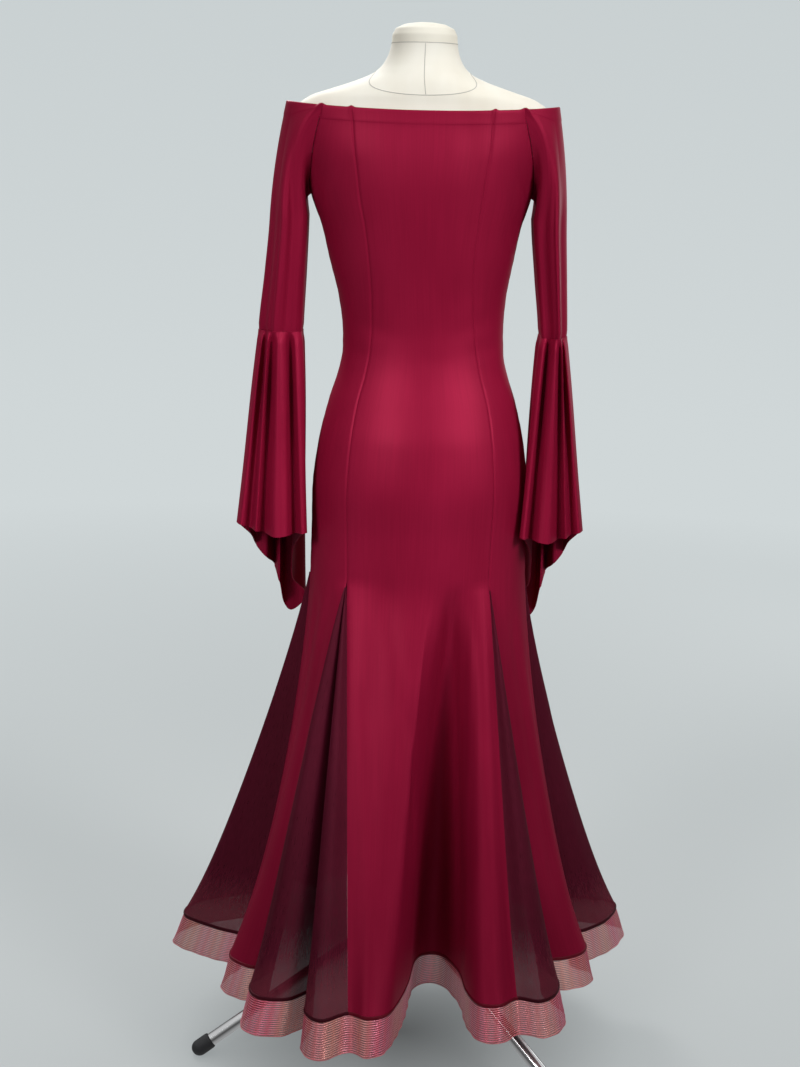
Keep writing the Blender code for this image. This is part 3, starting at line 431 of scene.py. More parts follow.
def cubic(before, start, end, after, share):
    """A value between start and end on a smooth curve that also heads for its neighbours."""
    return 0.5 * (
        2.0 * start
        + (end - before) * share
        + (2.0 * before - 5.0 * start + 4.0 * end - after) * share**2
        + (3.0 * start - before - 3.0 * end + after) * share**3
    )


def ramp(values, low, high):
    """0 below low, 1 above high, smooth between."""
    share = np.clip((values - low) / (high - low), 0.0, 1.0)
    return share * share * (3.0 - 2.0 * share)


def table_value(rows, column, heights):
    """A column's values at heights, on a smooth curve through the table's rows, which run downwards."""
    table = np.array(rows)
    levels = np.clip(heights, table[-1, 0], table[0, 0])
    index = np.clip(np.searchsorted(-table[:, 0], -levels, side="right") - 1, 0, len(table) - 2)
    share = (table[index, 0] - levels) / (table[index, 0] - table[index + 1, 0])
    values = table[:, column]
    before = values[np.maximum(index - 1, 0)]
    after = values[np.minimum(index + 2, len(table) - 1)]
    return cubic(before, values[index], values[index + 1], after, share)


def closed_curve(spots, steps):
    """A smooth closed line through spots, with the given number of steps from each to the next."""
    shares = np.arange(steps)[:, None] / steps
    runs = []
    for index in range(len(spots)):
        corners = [spots[(index + offset) % len(spots)] for offset in (-1, 0, 1, 2)]
        runs.append(cubic(*corners, shares))
    return np.concatenate(runs)


def oval(angles, half_width, front, back, fullness):
    along = np.cos(np.radians(angles))
    across = np.sin(np.radians(angles))
    depth = np.where(across > 0, back, front)
    x = half_width * np.sign(along) * np.abs(along) ** (2.0 / fullness)
    y = depth * np.sign(across) * np.abs(across) ** (2.0 / fullness)
    return x, y


def bust_lift(angles, heights):
    lift = 0.0
    for side in (270.0 - BUST_ANGLE, 270.0 + BUST_ANGLE):
        turn = (angles - side + 180.0) % 360.0 - 180.0
        away = (turn / BUST_SPREAD_ANGLE) ** 2 + ((heights - BUST_HEIGHT) / BUST_SPREAD_HEIGHT) ** 2
        lift = lift + BUST_LIFT * np.exp(-away)
    return lift


def torso(column, heights):
    return table_value(TORSO, column, heights)


def torso_points(angles, heights, inset=0.0):
    """Points of the cloth's outside on the bodice or hips, or the given distance inside it."""
    angles = np.asarray(angles, float)
    heights = np.broadcast_to(heights, angles.shape)
    x, y = oval(
        angles,
        torso(HALF_WIDTH, heights) - inset,
        torso(FRONT, heights) - inset,
        torso(BACK, heights) - inset,
        torso(FULLNESS, heights),
    )
    return np.stack([x + torso(CENTRE_X, heights), y - bust_lift(angles, heights), heights], axis=-1)


def neckline_height(angles):
    along = np.cos(np.radians(angles))
    across = np.sin(np.radians(angles))
    dip = np.where(across > 0, NECK_DIP_BACK, NECK_DIP_FRONT)
    return NECK_TOP - dip * across**2 - NECK_DIP_SIDE * np.abs(along) ** NECK_SIDE_POWER


def seam_angle(seam, heights):
    """Where a seam lies round the bodice or hips at heights."""
    princess = torso(PRINCESS, heights)
    raglan = np.where(np.asarray(heights) > ARMPIT, np.maximum(torso(RAGLAN, heights), 0.0), 0.0)
    return {
        "back_left": princess,
        "back_right": 180.0 - princess,
        "front_right": 180.0 + princess,
        "front_left": 360.0 - princess,
        "side_left_back": raglan,
        "side_left_front": 360.0 - raglan,
        "side_right_back": 180.0 - raglan,
        "side_right_front": 180.0 + raglan,
    }[seam]


PIECE_SEAMS = {
    # piece: seam where it starts and seam where it ends, going counter-clockwise from above
    "panel_side_back_left": ("side_left_back", "back_left"),
    "godet_back_left": ("back_left", "back_left"),
    "panel_centre_back": ("back_left", "back_right"),
    "godet_back_right": ("back_right", "back_right"),
    "panel_side_back_right": ("back_right", "side_right_back"),
    "godet_side_right": ("side_right_back", "side_right_back"),
    "panel_side_front_right": ("side_right_front", "front_right"),
    "godet_front_right": ("front_right", "front_right"),
    "panel_centre_front": ("front_right", "front_left"),
    "godet_front_left": ("front_left", "front_left"),
    "panel_side_front_left": ("front_left", "side_left_front"),
    "godet_side_left": ("side_left_back", "side_left_back"),
}
HEM_SECTIONS = {
    "left": ("panel_side_front_left", "godet_side_left", "panel_side_back_left"),
    "back": ("godet_back_left", "panel_centre_back", "godet_back_right"),
    "right": ("panel_side_back_right", "godet_side_right", "panel_side_front_right"),
    "front": ("godet_front_right", "panel_centre_front", "godet_front_left"),
}


def run_lengths(points):
    """Distance along a line of points from its start to each of them."""
    steps = np.linalg.norm(np.diff(points, axis=0), axis=1)
    return np.concatenate([[0.0], np.cumsum(steps)])


def hem_lines():
    """For each skirt piece, its columns along the hem: x, y, flare and the share of its width above."""
    spots = np.array([
        (radius * math.cos(math.radians(angle)), radius * math.sin(math.radians(angle)), flare)
        for folds in HEM_FOLDS.values()
        for angle, radius, flare in folds
    ])
    ring = closed_curve(spots, DENSE_STEPS)
    lines = {}
    start = 0
    for name, folds in HEM_FOLDS.items():
        end = start + len(folds) * DENSE_STEPS
        line = ring[np.arange(start, end + 1) % len(ring)]
        start = end
        lengths = run_lengths(line[:, :2])
        total = lengths[-1]
        edge = np.array(EDGE_STEPS) / total
        middle = np.linspace(edge[-1], 1.0 - edge[-1], int(total / COLUMN_SPACING))
        shares = np.concatenate([edge[:-1], middle, 1.0 - edge[-2::-1]])
        columns = [np.interp(shares, lengths / total, line[:, axis]) for axis in range(3)]
        widths = np.array(WIDTH_SHARES.get(name, EVEN_WIDTH))
        lines[name] = (np.stack(columns, axis=-1), np.interp(shares, widths[:, 0], widths[:, 1]))
    return lines


HEM_LINES = hem_lines()


def piece_angles(name, shares, heights):
    """Angles round the body of shares of a panel's width, for heights above the godets."""
    start = seam_angle(PIECE_SEAMS[name][0], heights)
    end = seam_angle(PIECE_SEAMS[name][1], heights)
    end = np.where(end < start, end + 360.0, end)
    return start + (end - start) * shares


def skirt_opening(flare, height, softness):
    """How far the fan has opened at a height: 0 at the godets' tops, 1 at the hem, and more below it."""
    drop = (GODET_TOP - height) / (GODET_TOP - HEM)
    if drop > 1.0:
        return np.ones_like(softness) + (drop - 1.0) * BRAID_FLARE
    soft = (math.hypot(drop, FLARE_EASE) - FLARE_EASE) / (math.hypot(1.0, FLARE_EASE) - FLARE_EASE)
    eased = drop + (soft - drop) * softness
    return (1.0 - HEM_FLIP) * eased**flare + HEM_FLIP * drop**HEM_FLIP_POWER


def skirt_row(name, height):
    """A row of the cloth's outside below the godets' tops: seams that fan out, with folds growing between."""
    spots, shares = HEM_LINES[name]
    corners = torso_points(piece_angles(name, np.array([0.0, 1.0]), GODET_TOP), GODET_TOP)[:, :2]
    softness = np.zeros(len(shares))
    if name.startswith("panel"):
        softness = ramp(np.minimum(shares, 1.0 - shares), 0.0, SEAM_REACH)
    opening, first, last = [skirt_opening(flare, height, softness)[:, None]
                            for flare in (spots[:, 2], spots[0, 2], spots[-1, 2])]
    start = corners[0] + (spots[0, :2] - corners[0]) * first
    end = corners[1] + (spots[-1, :2] - corners[1]) * last
    along = shares[:, None]
    fold = spots[:, :2] - (spots[0, :2] * (1.0 - along) + spots[-1, :2] * along)
    level = start * (1.0 - along) + end * along + fold * opening
    if name.startswith("panel"):
        top = torso_points(piece_angles(name, shares, GODET_TOP), GODET_TOP)[:, :2]
        drop = min((GODET_TOP - height) / (GODET_TOP - HEM), 1.0)
        roundness = 0.5 + 0.5 * math.cos(math.pi * drop)
        level += (top - corners[0] * (1.0 - along) - corners[1] * along) * roundness
    return np.column_stack([level, np.full(len(level), height)])


def even_steps(high, low, spacing):
    """Heights from high down to low, both included."""
    return np.linspace(high, low, max(int(round((high - low) / spacing)), 1) + 1)


def unit(vectors):
    return vectors / np.maximum(np.linalg.norm(vectors, axis=-1, keepdims=True), 1e-9)


def grid_normals(grid, closed):
    """Outward normals of a grid whose rows run downwards and whose columns run counter-clockwise."""
    if closed:
        across = np.roll(grid, -1, axis=1) - np.roll(grid, 1, axis=1)
    else:
        across = np.gradient(grid, axis=1)
    return unit(np.cross(np.gradient(grid, axis=0), across))


def quads(rows, columns, closed):
    """Faces of a grid whose points are numbered row by row, from the top."""
    first = np.arange(columns if closed else columns - 1)
    second = (first + 1) % columns
    upper = np.arange(rows - 1)[:, None] * columns
    lower = upper + columns
    return np.stack([upper + first, lower + first, lower + second, upper + second], axis=-1).reshape(-1, 4)


def add_object(name, points, faces, materials, sharp_degrees=None):
    """A smooth mesh in the scene, with edges past sharp_degrees kept sharp."""
    mesh = bpy.data.meshes.new(name)
    mesh.from_pydata(np.asarray(points).tolist(), [], faces)
    for item in materials:
        mesh.materials.append(item)
    mesh.shade_smooth()
    if sharp_degrees is not None:
        mesh.set_sharp_from_angle(angle=math.radians(sharp_degrees))
    made = bpy.data.objects.new(name, mesh)
    bpy.context.scene.collection.objects.link(made)
    return made


def add_cloth_map(made, across, down, copies=1):
    """A UV map of the cloth's own lengths, for a mesh of one or more grids of points."""
    spread = np.stack(np.meshgrid(across, down), axis=-1).reshape(-1, 2)
    spread = np.tile(spread, (copies, 1))
    corners = np.zeros(len(made.data.loops), np.int32)
    made.data.loops.foreach_get("vertex_index", corners)
    cloth = made.data.uv_layers.new(name="cloth")
    cloth.data.foreach_set("uv", spread[corners].astype(np.float32).reshape(-1))


def wall_mesh(name, outer, inner, closed, material):
    """A thin closed wall between an outer and an inner grid."""
    rows, columns = outer.shape[:2]
    sheet = quads(rows, columns, closed)
    back = rows * columns
    first = np.arange(columns if closed else columns - 1)
    second = (first + 1) % columns
    top_rim = np.stack([first, second, back + second, back + first], axis=-1)
    bottom_rim = (rows - 1) * columns + np.stack([first, back + first, back + second, second], axis=-1)
    faces = [sheet, sheet[:, ::-1] + back, top_rim, bottom_rim]
    if not closed:
        down = np.arange(rows - 1) * columns
        far = down + columns - 1
        faces.append(np.stack([down, back + down, back + down + columns, down + columns], axis=-1))
        faces.append(np.stack([far, far + columns, back + far + columns, back + far], axis=-1))
    points = np.concatenate([outer.reshape(-1, 3), inner.reshape(-1, 3)])
    made = add_object(name, points, np.concatenate(faces).tolist(), [material], WALL_SHARP_DEGREES)
    add_cloth_map(made, run_lengths(outer[rows // 2]), run_lengths(outer[:, columns // 2]), copies=2)
    return made


def tube_rows(line, side, up, half_width, half_height, count, power=1.0):
    """Lines along a tube round a line; its section is an oval, and squarer with a power below 1."""
    rows = []
    for turn in 2.0 * math.pi * np.arange(count) / count:
        out = math.copysign(abs(math.cos(turn)) ** power, math.cos(turn)) * half_width
        rise = math.copysign(abs(math.sin(turn)) ** power, math.sin(turn)) * half_height
        rows.append(line + np.array(side) * out + np.array(up) * rise)
    return np.array(rows)


def tube_mesh(name, rows, materials, column_material=None):
    """A closed tube: rows are its sides, each a line of points from end to end."""
    sides, columns = rows.shape[:2]
    faces = quads(sides + 1, columns, False) % (sides * columns)
    starts = np.arange(0, sides * columns, columns)
    ends = [starts[::-1].tolist(), (starts + columns - 1).tolist()]
    made = add_object(name, rows.reshape(-1, 3), faces.tolist() + ends, materials)
    add_cloth_map(made, run_lengths(rows[0]), np.arange(sides) * TUBE_MAP_STEP)
    if column_material is not None:
        slots = np.concatenate([column_material[faces.min(axis=1) % columns], [0, 0]])
        made.data.polygons.foreach_set("material_index", slots.astype(np.int32))
    return made


def lathe(name, rings, material, sharp_degrees=40.0):
    """A closed solid through rings of points, top first, with flat ends."""
    count = len(rings[0])
    ends = [list(range(count)), list(range(len(rings) * count - 1, (len(rings) - 1) * count - 1, -1))]
    faces = quads(len(rings), count, True).tolist() + ends
    return add_object(name, np.concatenate(rings), faces, [material], sharp_degrees)


def round_ring(centre, side, up, radius, count):
    turns = 2.0 * math.pi * np.arange(count)[:, None] / count
    return np.array(centre) + np.array(side) * np.cos(turns) * radius + np.array(up) * np.sin(turns) * radius


def level_ring(height, radius, count, x=0.0, y=0.0):
    return round_ring((x, y, height), EAST, NORTH, radius, count)


def place(made, slot, *nodes):
    """Rides a piece on the part's body, in place of its CAD nodes."""
    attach(made, "root")
    if nodes:
        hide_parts(*nodes)


def cloth_piece(node, grid, closed, materials, slot, wall=WALL):
    """A sheet of cloth in place of a CAD node."""
    made = wall_mesh(f"cloth_{node}", grid, grid - grid_normals(grid, closed) * wall, closed, materials[slot])
    place(made, slot, node)


def crease_depth(angles, heights):
    """How deep the listed creases press in at points of the bodice and hips."""
    depth = np.zeros(np.broadcast(angles, heights).shape)
    radius = torso(HALF_WIDTH, heights)
    for angle, height, half_length, half_width, deep, lean in BODY_CREASES:
        turn = np.radians((angles - angle + 180.0) % 360.0 - 180.0) * radius
        rise = heights - height
        slope = math.radians(lean)
        along = rise * math.cos(slope) + turn * math.sin(slope)
        across = turn * math.cos(slope) - rise * math.sin(slope)
        depth += deep * np.exp(-((along / half_length) ** 2) - (across / half_width) ** 2)
    return depth


def edge_distance(grid):
    """Distance along each row from its start, and from its nearer end."""
    steps = np.linalg.norm(np.diff(grid, axis=1), axis=-1)
    along = np.concatenate([np.zeros((len(grid), 1)), np.cumsum(steps, axis=1)], axis=1)
    return along, np.minimum(along, along[:, -1:] - along)


def seam_relief(heights, near):
    """Height of the cloth beside its seams: a groove, shallow below, and faint puckers that fade from it."""
    above = ramp(heights, GODET_TOP - LOW_GROOVE_FADE, GODET_TOP)
    share = LOW_GROOVE_SHARE + (1.0 - LOW_GROOVE_SHARE) * above
    groove = -SEAM_DEPTH * share * np.exp(-((near / SEAM_SPREAD) ** 2))
    drift = PUCKER_DRIFT * np.sin(heights * PUCKER_DRIFT_RATE)
    wave = np.sin(heights * 2.0 * math.pi / PUCKER_LENGTH + drift)
    fade = np.exp(-near / PUCKER_SPREAD) * (1.0 - np.exp(-((near / PUCKER_GAP) ** 2)))
    return groove + PUCKER_DEPTH * wave * fade


def tuck_relief(grid, near):
    """Draws the casing in to a small knob at a seam: raises the grid's top there, and gives its lift."""
    below = grid[:1, :, 2] - grid[..., 2]
    tuck = np.exp(-((near / TUCK_SPREAD) ** 2)) * (1.0 - ramp(below, TUCK_FADE_START, CASING_HEIGHT))
    grid[..., 2] += TUCK_HEIGHT * tuck * (1.0 - ramp(below, *TUCK_EDGE_FADE))
    return TUCK_LIFT * tuck


def panel_grid(name):
    """The outside of a panel from the neckline to the hem, or of a godet from its tip."""
    spots, shares = HEM_LINES[name]
    rows, lifts, creases = [], [], []
    if name.startswith("panel"):
        neck = neckline_height(piece_angles(name, shares, NECK_TOP))
        levels = [(neck - depth, lift) for depth, lift in zip(CASING_ROWS, CASING_LIFTS)]
        low = neck - CASING_ROWS[-1]
        for share in np.linspace(0.0, 1.0, BAND_STEPS + 1)[1:]:
            levels.append((low * (1.0 - share) + BAND_END * share, 0.0))
        for height in even_steps(BAND_END, GODET_TOP, ROW_SPACING)[1:]:
            levels.append((np.full(len(shares), height), 0.0))
        for heights, lift in levels:
            angles = piece_angles(name, shares, heights)
            rows.append(torso_points(angles, heights))
            lifts.append(lift)
            creases.append(crease_depth(angles, heights))
    for height in even_steps(GODET_TOP, HEM, ROW_SPACING)[1:]:
        rows.append(skirt_row(name, height))
        lifts.append(0.0)
        angles = np.degrees(np.arctan2(rows[-1][:, 1], rows[-1][:, 0]))
        pressed = crease_depth(angles, np.full(len(shares), height))
        creases.append(pressed * ramp(height, BODY_CREASE_END, GODET_TOP))
    grid = np.array(rows)
    heights = grid[..., 2]
    along, near = edge_distance(grid)
    relief = np.array(lifts)[:, None] + seam_relief(heights, near) - np.array(creases)
    for piece, share, half_width, depth, top, bottom in SKIRT_CREASES:
        if piece == name:
            away = (along - share * along[:, -1:]) / half_width
            start = ramp(heights, bottom - SKIRT_CREASE_FADE, bottom + SKIRT_CREASE_FADE)
            relief -= depth * np.exp(-(away**2)) * start * (1.0 - ramp(heights, top - SKIRT_CREASE_FADE, top))
    if name.startswith("panel"):
        relief += tuck_relief(grid, near)
    return grid + grid_normals(grid, False) * relief[..., None]


def make_dress_body(materials):
    for name in HEM_FOLDS:
        grid = panel_grid(name)
        if name.startswith("panel"):
            cloth_piece(name, grid, False, materials, "wine_jersey")
        else:
            cloth_piece(name, grid, False, materials, "dark_mesh", MESH_WALL)


def hem_ring(height):
    """The whole folded edge at a height, with level normals, as {piece: (points, normals)}."""
    ring = np.concatenate([skirt_row(name, height)[:-1] for name in HEM_FOLDS])
    runs = unit(np.roll(ring, -1, axis=0) - ring)
    bends = runs + np.roll(runs, 1, axis=0)
    normals = unit(np.stack([bends[:, 1], -bends[:, 0], np.zeros(len(ring))], axis=-1))
    found = {}
    start = 0
    for name in HEM_FOLDS:
        count = len(HEM_LINES[name][1])
        places = np.arange(start, start + count) % len(ring)
        found[name] = (ring[places], normals[places])
        start += count - 1
    return found


def section_line(ring, names):
    """Points, normals and the piece's kind (0 panel, 1 godet) of one section of the hem."""
    points, normals, kinds = [], [], []
    for name in names:
        skip = 1 if points else 0
        points.append(ring[name][0][skip:])
        normals.append(ring[name][1][skip:])
        kinds += [int(name.startswith("godet"))] * (len(ring[name][0]) - skip)
    return np.concatenate(points), np.concatenate(normals), np.array(kinds)


def make_binding(materials):
    """A rounded satin binding along the cloth's lower edge, with painted shade that makes it darker on the
    sheer godets.
    """
    ring = hem_ring((HEM + BINDING_BOTTOM) / 2.0)
    for side, names in HEM_SECTIONS.items():
        line, normals, kinds = section_line(ring, names)
        middle = line - normals * WALL / 2.0
        rows = tube_rows(middle, normals, UP, BINDING_HALF_THICKNESS, BINDING_HALF_HEIGHT, BINDING_SIDES,
                         BINDING_POWER)
        # the stretches along the godets get the binding's darker copy, painted shade
        tones = [materials["binding_satin"], materials["binding_satin_painted_shade"]]
        place(tube_mesh(f"binding_{side}_tape", rows, tones, kinds), "binding_satin", f"binding_{side}")


def make_braid(materials):
    """The stiff see-through horsehair braid below the hem, with a cord along its lower edge."""
    rings = [hem_ring(height) for height in np.linspace(BINDING_BOTTOM + BRAID_GAP, BRAID_BOTTOM, BRAID_ROWS)]
    for side, names in HEM_SECTIONS.items():
        rows = []
        for index, ring in enumerate(rings):
            line, normals, _ = section_line(ring, names)
            along = run_lengths(line)
            drift = BRAID_RIPPLE_DRIFT * np.sin(along * BRAID_DRIFT_RATE)
            ripple = np.sin(along / BRAID_RIPPLE_LENGTH * 2.0 * math.pi + drift)
            out = BRAID_RIPPLE * ripple * index / (BRAID_ROWS - 1) - WALL / 2.0
            rows.append(line + normals * out[:, None])
        grid = np.array(rows)
        inner = grid - grid_normals(grid, False) * BRAID_WALL
        made = wall_mesh(f"horsehair_{side}", grid, inner, False, materials["horsehair_braid"])
        place(made, "horsehair_braid", f"braid_{side}")
        edge = tube_rows(grid[-1], normals, UP, BRAID_EDGE_RADIUS, BRAID_EDGE_RADIUS, CORD_SIDES)
        cord = tube_mesh(f"horsehair_edge_{side}", edge, [materials["braid_edge"]])
        place(cord, "horsehair_braid")


def raglan_side(side, part, count):
    """Points up one raglan seam from the armpit to the neckline."""
    seam = f"side_{side}_{part}"
    top = float(neckline_height(seam_angle(seam, NECK_TOP)))
    marks = [ARMPIT + 1e-6, *RAGLAN_HEIGHTS, top - CASING_HEIGHT, top]
    heights = np.interp(np.arange(count + 1) / SLEEVE_COLUMNS_PER_STEP, range(len(marks)), marks)
    return torso_points(seam_angle(seam, heights), heights)


def sleeve_top_loop(side):
    """The sleeve's upper edge, up the back raglan seam, over the shoulder and down the front one, and how
    many of its points are on each seam."""
    steps = SLEEVE_COLUMNS_PER_STEP
    count = (len(RAGLAN_HEIGHTS) + 2) * steps
    back = raglan_side(side, "back", count)
    front = raglan_side(side, "front", count)
    start = float(seam_angle(f"side_{side}_back", back[-1, 2]))
    end = float(seam_angle(f"side_{side}_front", front[-1, 2]))
    if side == "left":
        end -= 360.0
    angles = np.linspace(start, end, SHOULDER_STEPS * steps + 1)[1:-1]
    shoulder = torso_points(angles, neckline_height(angles))
    return np.concatenate([back, shoulder, front[:0:-1]]), count


def sleeve_ring(side, turns, height, fold):
    """A row of the sleeve's tube: turn 180 is its inner side, 90 its back, 0 its outer side."""
    inner = table_value(SLEEVES[side], INNER, height)
    outer = table_value(SLEEVES[side], OUTER, height)
    half_width = (outer - inner) / 2.0
    half_depth = table_value(SLEEVES[side], HALF_DEPTH, height)
    wave = 1.0 + fold * np.cos(np.radians(SLEEVE_FOLDS * turns)) / half_width
    x = (inner + outer) / 2.0 + half_width * np.cos(np.radians(turns)) * wave
    y = table_value(SLEEVES[side], CENTRE_Y, height) + half_depth * np.sin(np.radians(turns)) * wave
    sign = 1.0 if side == "left" else -1.0
    return np.stack([sign * x, y, np.full(len(turns), height)], axis=-1)


def sleeve_top_row(top, ring, turns, share):
    """A row between the sleeve's upper edge and its first full ring: rounded over the shoulder, and led
    outwards before it drops where it leaves the raglan seams."""
    middle = (top + ring) / 2.0
    middle[:, 0] += np.sign(top[:, 0]) * SHOULDER_BULGE
    corner = top * (1.0 - RAGLAN_CORNER) + ring * RAGLAN_CORNER
    corner[:, 0] = ring[:, 0] + np.sign(ring[:, 0]) * RAGLAN_PUSH
    raglan = np.clip((np.abs(turns) - RAGLAN_TURN) / RAGLAN_TURN, 0.0, 1.0)[:, None]
    control = middle * (1.0 - raglan) + corner * raglan
    rest = 1.0 - share
    return top * rest**2 + control * (2.0 * share * rest) + ring * share**2


def sleeve_grid(side):
    """The outside of a sleeve from the neckline and the raglan seams to the elbow."""
    loop, raglan_count = sleeve_top_loop(side)
    count = len(loop)
    first_ring = SLEEVES[side][0][0]
    last_ring = SLEEVES[side][-1][0]
    turns = 180.0 - 360.0 * np.arange(count) / count
    shares = [depth / SLEEVE_TOP_LENGTH for depth in CASING_ROWS]
    shares += list(np.linspace(shares[-1], 1.0, SLEEVE_TOP_ROWS)[1:])
    rows = []
    for share in shares:
        ring = sleeve_ring(side, turns, first_ring, SLEEVE_FOLD_DEPTH * share)
        rows.append(sleeve_top_row(loop, ring, turns, share))
    for height in even_steps(first_ring, last_ring, ROW_SPACING)[1:]:
        rows.append(sleeve_ring(side, turns, height, SLEEVE_FOLD_DEPTH))
    grid = np.array(rows)
    heights = grid[..., 2]
    relief = np.zeros(heights.shape)
    relief[:len(CASING_LIFTS), raglan_count:count - raglan_count] = np.array(CASING_LIFTS)[:, None]
    below, above, under = SLEEVE_CREASE_FADES
    for turn, half_width, depth, top, bottom in SLEEVE_CREASES[side]:
        away = ((turns - turn + 180.0) % 360.0 - 180.0) / half_width
        fade = ramp(heights, bottom - below, bottom + above) * (1.0 - ramp(heights, top - under, top))
        relief -= depth * np.exp(-(away**2)) * fade
    columns = np.arange(count)
    from_seam = np.minimum(np.abs(columns - raglan_count), np.abs(columns - count + raglan_count))
    relief += tuck_relief(grid, from_seam * SLEEVE_COLUMN_SPACING)
    relief -= SEAM_DEPTH * np.exp(-(((heights - last_ring) / SEAM_SPREAD) ** 2))
    normals = grid_normals(grid, True) * (-1.0 if side == "left" else 1.0)
    return grid + normals * relief[..., None]


def make_sleeves(materials):
    for side, step in (("left", -1), ("right", 1)):
        grid = sleeve_grid(side)[:, ::step]
        cloth_piece(f"sleeve_{side}", grid, True, materials, "wine_jersey")


def flounce_grid(side):
    """The outside of a flounce: from the sleeve's edge to a folded lower edge, gathered most near the top."""
    inner, outer = FLOUNCE_REACH[side]
    sign = 1.0 if side == "left" else -1.0
    folds = np.array(FLOUNCE_FOLDS)
    spots = np.column_stack([sign * (inner + (outer - inner) * folds[:, 0]), folds[:, 1:]])
    low = closed_curve(spots, FLOUNCE_COLUMNS_PER_FOLD)
    count = len(low)
    turns = 360.0 * np.arange(count) / count
    high = sleeve_ring(side, turns, SLEEVES[side][-1][0], SLEEVE_FOLD_DEPTH)
    reach = 2 * FLOUNCE_COLUMNS_PER_FOLD
    window = np.hanning(2 * reach + 1)
    window /= window.sum()
    padded = np.concatenate([low[-reach:], low, low[:reach]])
    calm = np.stack([np.convolve(padded[:, axis], window, mode="valid") for axis in range(3)], axis=-1)
    fold = low - calm
    fold[:, 2] = 0.0
    rows = []
    for share in np.linspace(0.0, 1.0, FLOUNCE_ROW_COUNT) ** FLOUNCE_ROW_POWER:
        gather = GATHER_DEPTH * math.exp(-(((share - GATHER_PLACE) / GATHER_SPREAD) ** 2))
        rows.append(high * (1.0 - share) + low * share + fold * gather * min(share / GATHER_START, 1.0))
    return np.array(rows)


def make_flounces(materials):
    for side, step in (("left", 1), ("right", -1)):
        grid = flounce_grid(side)[:, ::step]
        cloth_piece(f"flounce_{side}", grid, True, materials, "wine_jersey")


def form_row(angles, height):
    """A section of the dress form, a little inside the cloth where the dress covers it."""
    if height < SHOULDERS[-1][0]:
        return torso_points(angles, height, inset=WALL + FORM_CLEARANCE)
    columns = [table_value(SHOULDERS, column, height) for column in range(1, 6)]
    half_width, front, back, centre_x, centre_y = columns
    x, y = oval(angles, half_width, front, back, torso(FULLNESS, height))
    return np.stack([x + centre_x, y + centre_y, np.full(len(angles), height)], axis=-1)


def seam_cord(name, line, closed, materials):
    """A thin raised seam along a line of points on the form."""
    if closed:
        runs = unit(np.roll(line, -1, axis=0) - np.roll(line, 1, axis=0))
    else:
        runs = unit(np.gradient(line, axis=0))
    side = unit(np.cross(runs, np.array(UP) + 0.01))
    up = unit(np.cross(side, runs))
    rows = tube_rows(line, side, up, FORM_SEAM_RADIUS, FORM_SEAM_RADIUS, CORD_SIDES)
    if closed:
        rows = np.concatenate([rows, rows[:, :1]], axis=1)
    place(tube_mesh(name, rows, [materials["form_seam"]]), "form_jersey")


def make_form(materials):
    """The form's padded body, the cap on its neck, and the seams that show."""
    angles = np.arange(FORM_COLUMNS) * 360.0 / FORM_COLUMNS
    low = FORM_BOTTOM + FORM_EDGE[-1][0]
    upper = even_steps(SHOULDERS[0][0], FORM_FINE_END, FORM_FINE_SPACING)
    lower = even_steps(FORM_FINE_END, low, FORM_SPACING)[1:]
    rings = [form_row(angles, height) for height in [*upper, *lower]]
    for drop, inset in FORM_EDGE:
        rings.append(torso_points(angles, low, inset=WALL + FORM_CLEARANCE + inset))
        rings[-1][:, 2] -= drop
    place(lathe("form_body_cover", rings, materials["form_jersey"]), "form_jersey", "form_body")
    profile = np.array(CAP_PROFILE)
    centre_x, centre_y = SHOULDERS[0][4:]
    rings = []
    for share in np.linspace(0.0, len(profile) - 1.0, CAP_ROWS + 1)[:-1]:
        height, radius = [np.interp(share, range(len(profile)), profile[:, axis]) for axis in (0, 1)]
        rings.append(level_ring(height, radius, CAP_COLUMNS, centre_x, centre_y))
    place(lathe("form_cap_cover", rings[::-1], materials["cap_jersey"], 60.0), "cap_jersey", "form_neck_cap")
    dips = np.where(np.sin(np.radians(angles)) > 0, COLLAR_DIP_BACK, COLLAR_DIP_FRONT)
    drops = COLLAR_TOP - dips * (1.0 - np.cos(np.radians(angles)) ** 2)
    collar = [form_row(angles[index:index + 1], height) for index, height in enumerate(drops)]
    seam_cord("form_collar_seam", np.concatenate(collar), True, materials)
    heights = even_steps(*NECK_SEAM_ENDS, FORM_FINE_SPACING)
    neck = [form_row(np.array([NECK_SEAM_ANGLE]), height) for height in heights]
    seam_cord("form_neck_seam", np.concatenate(neck), False, materials)
    seam_cord("form_cap_seam", form_row(angles, SHOULDERS[0][0]), True, materials)


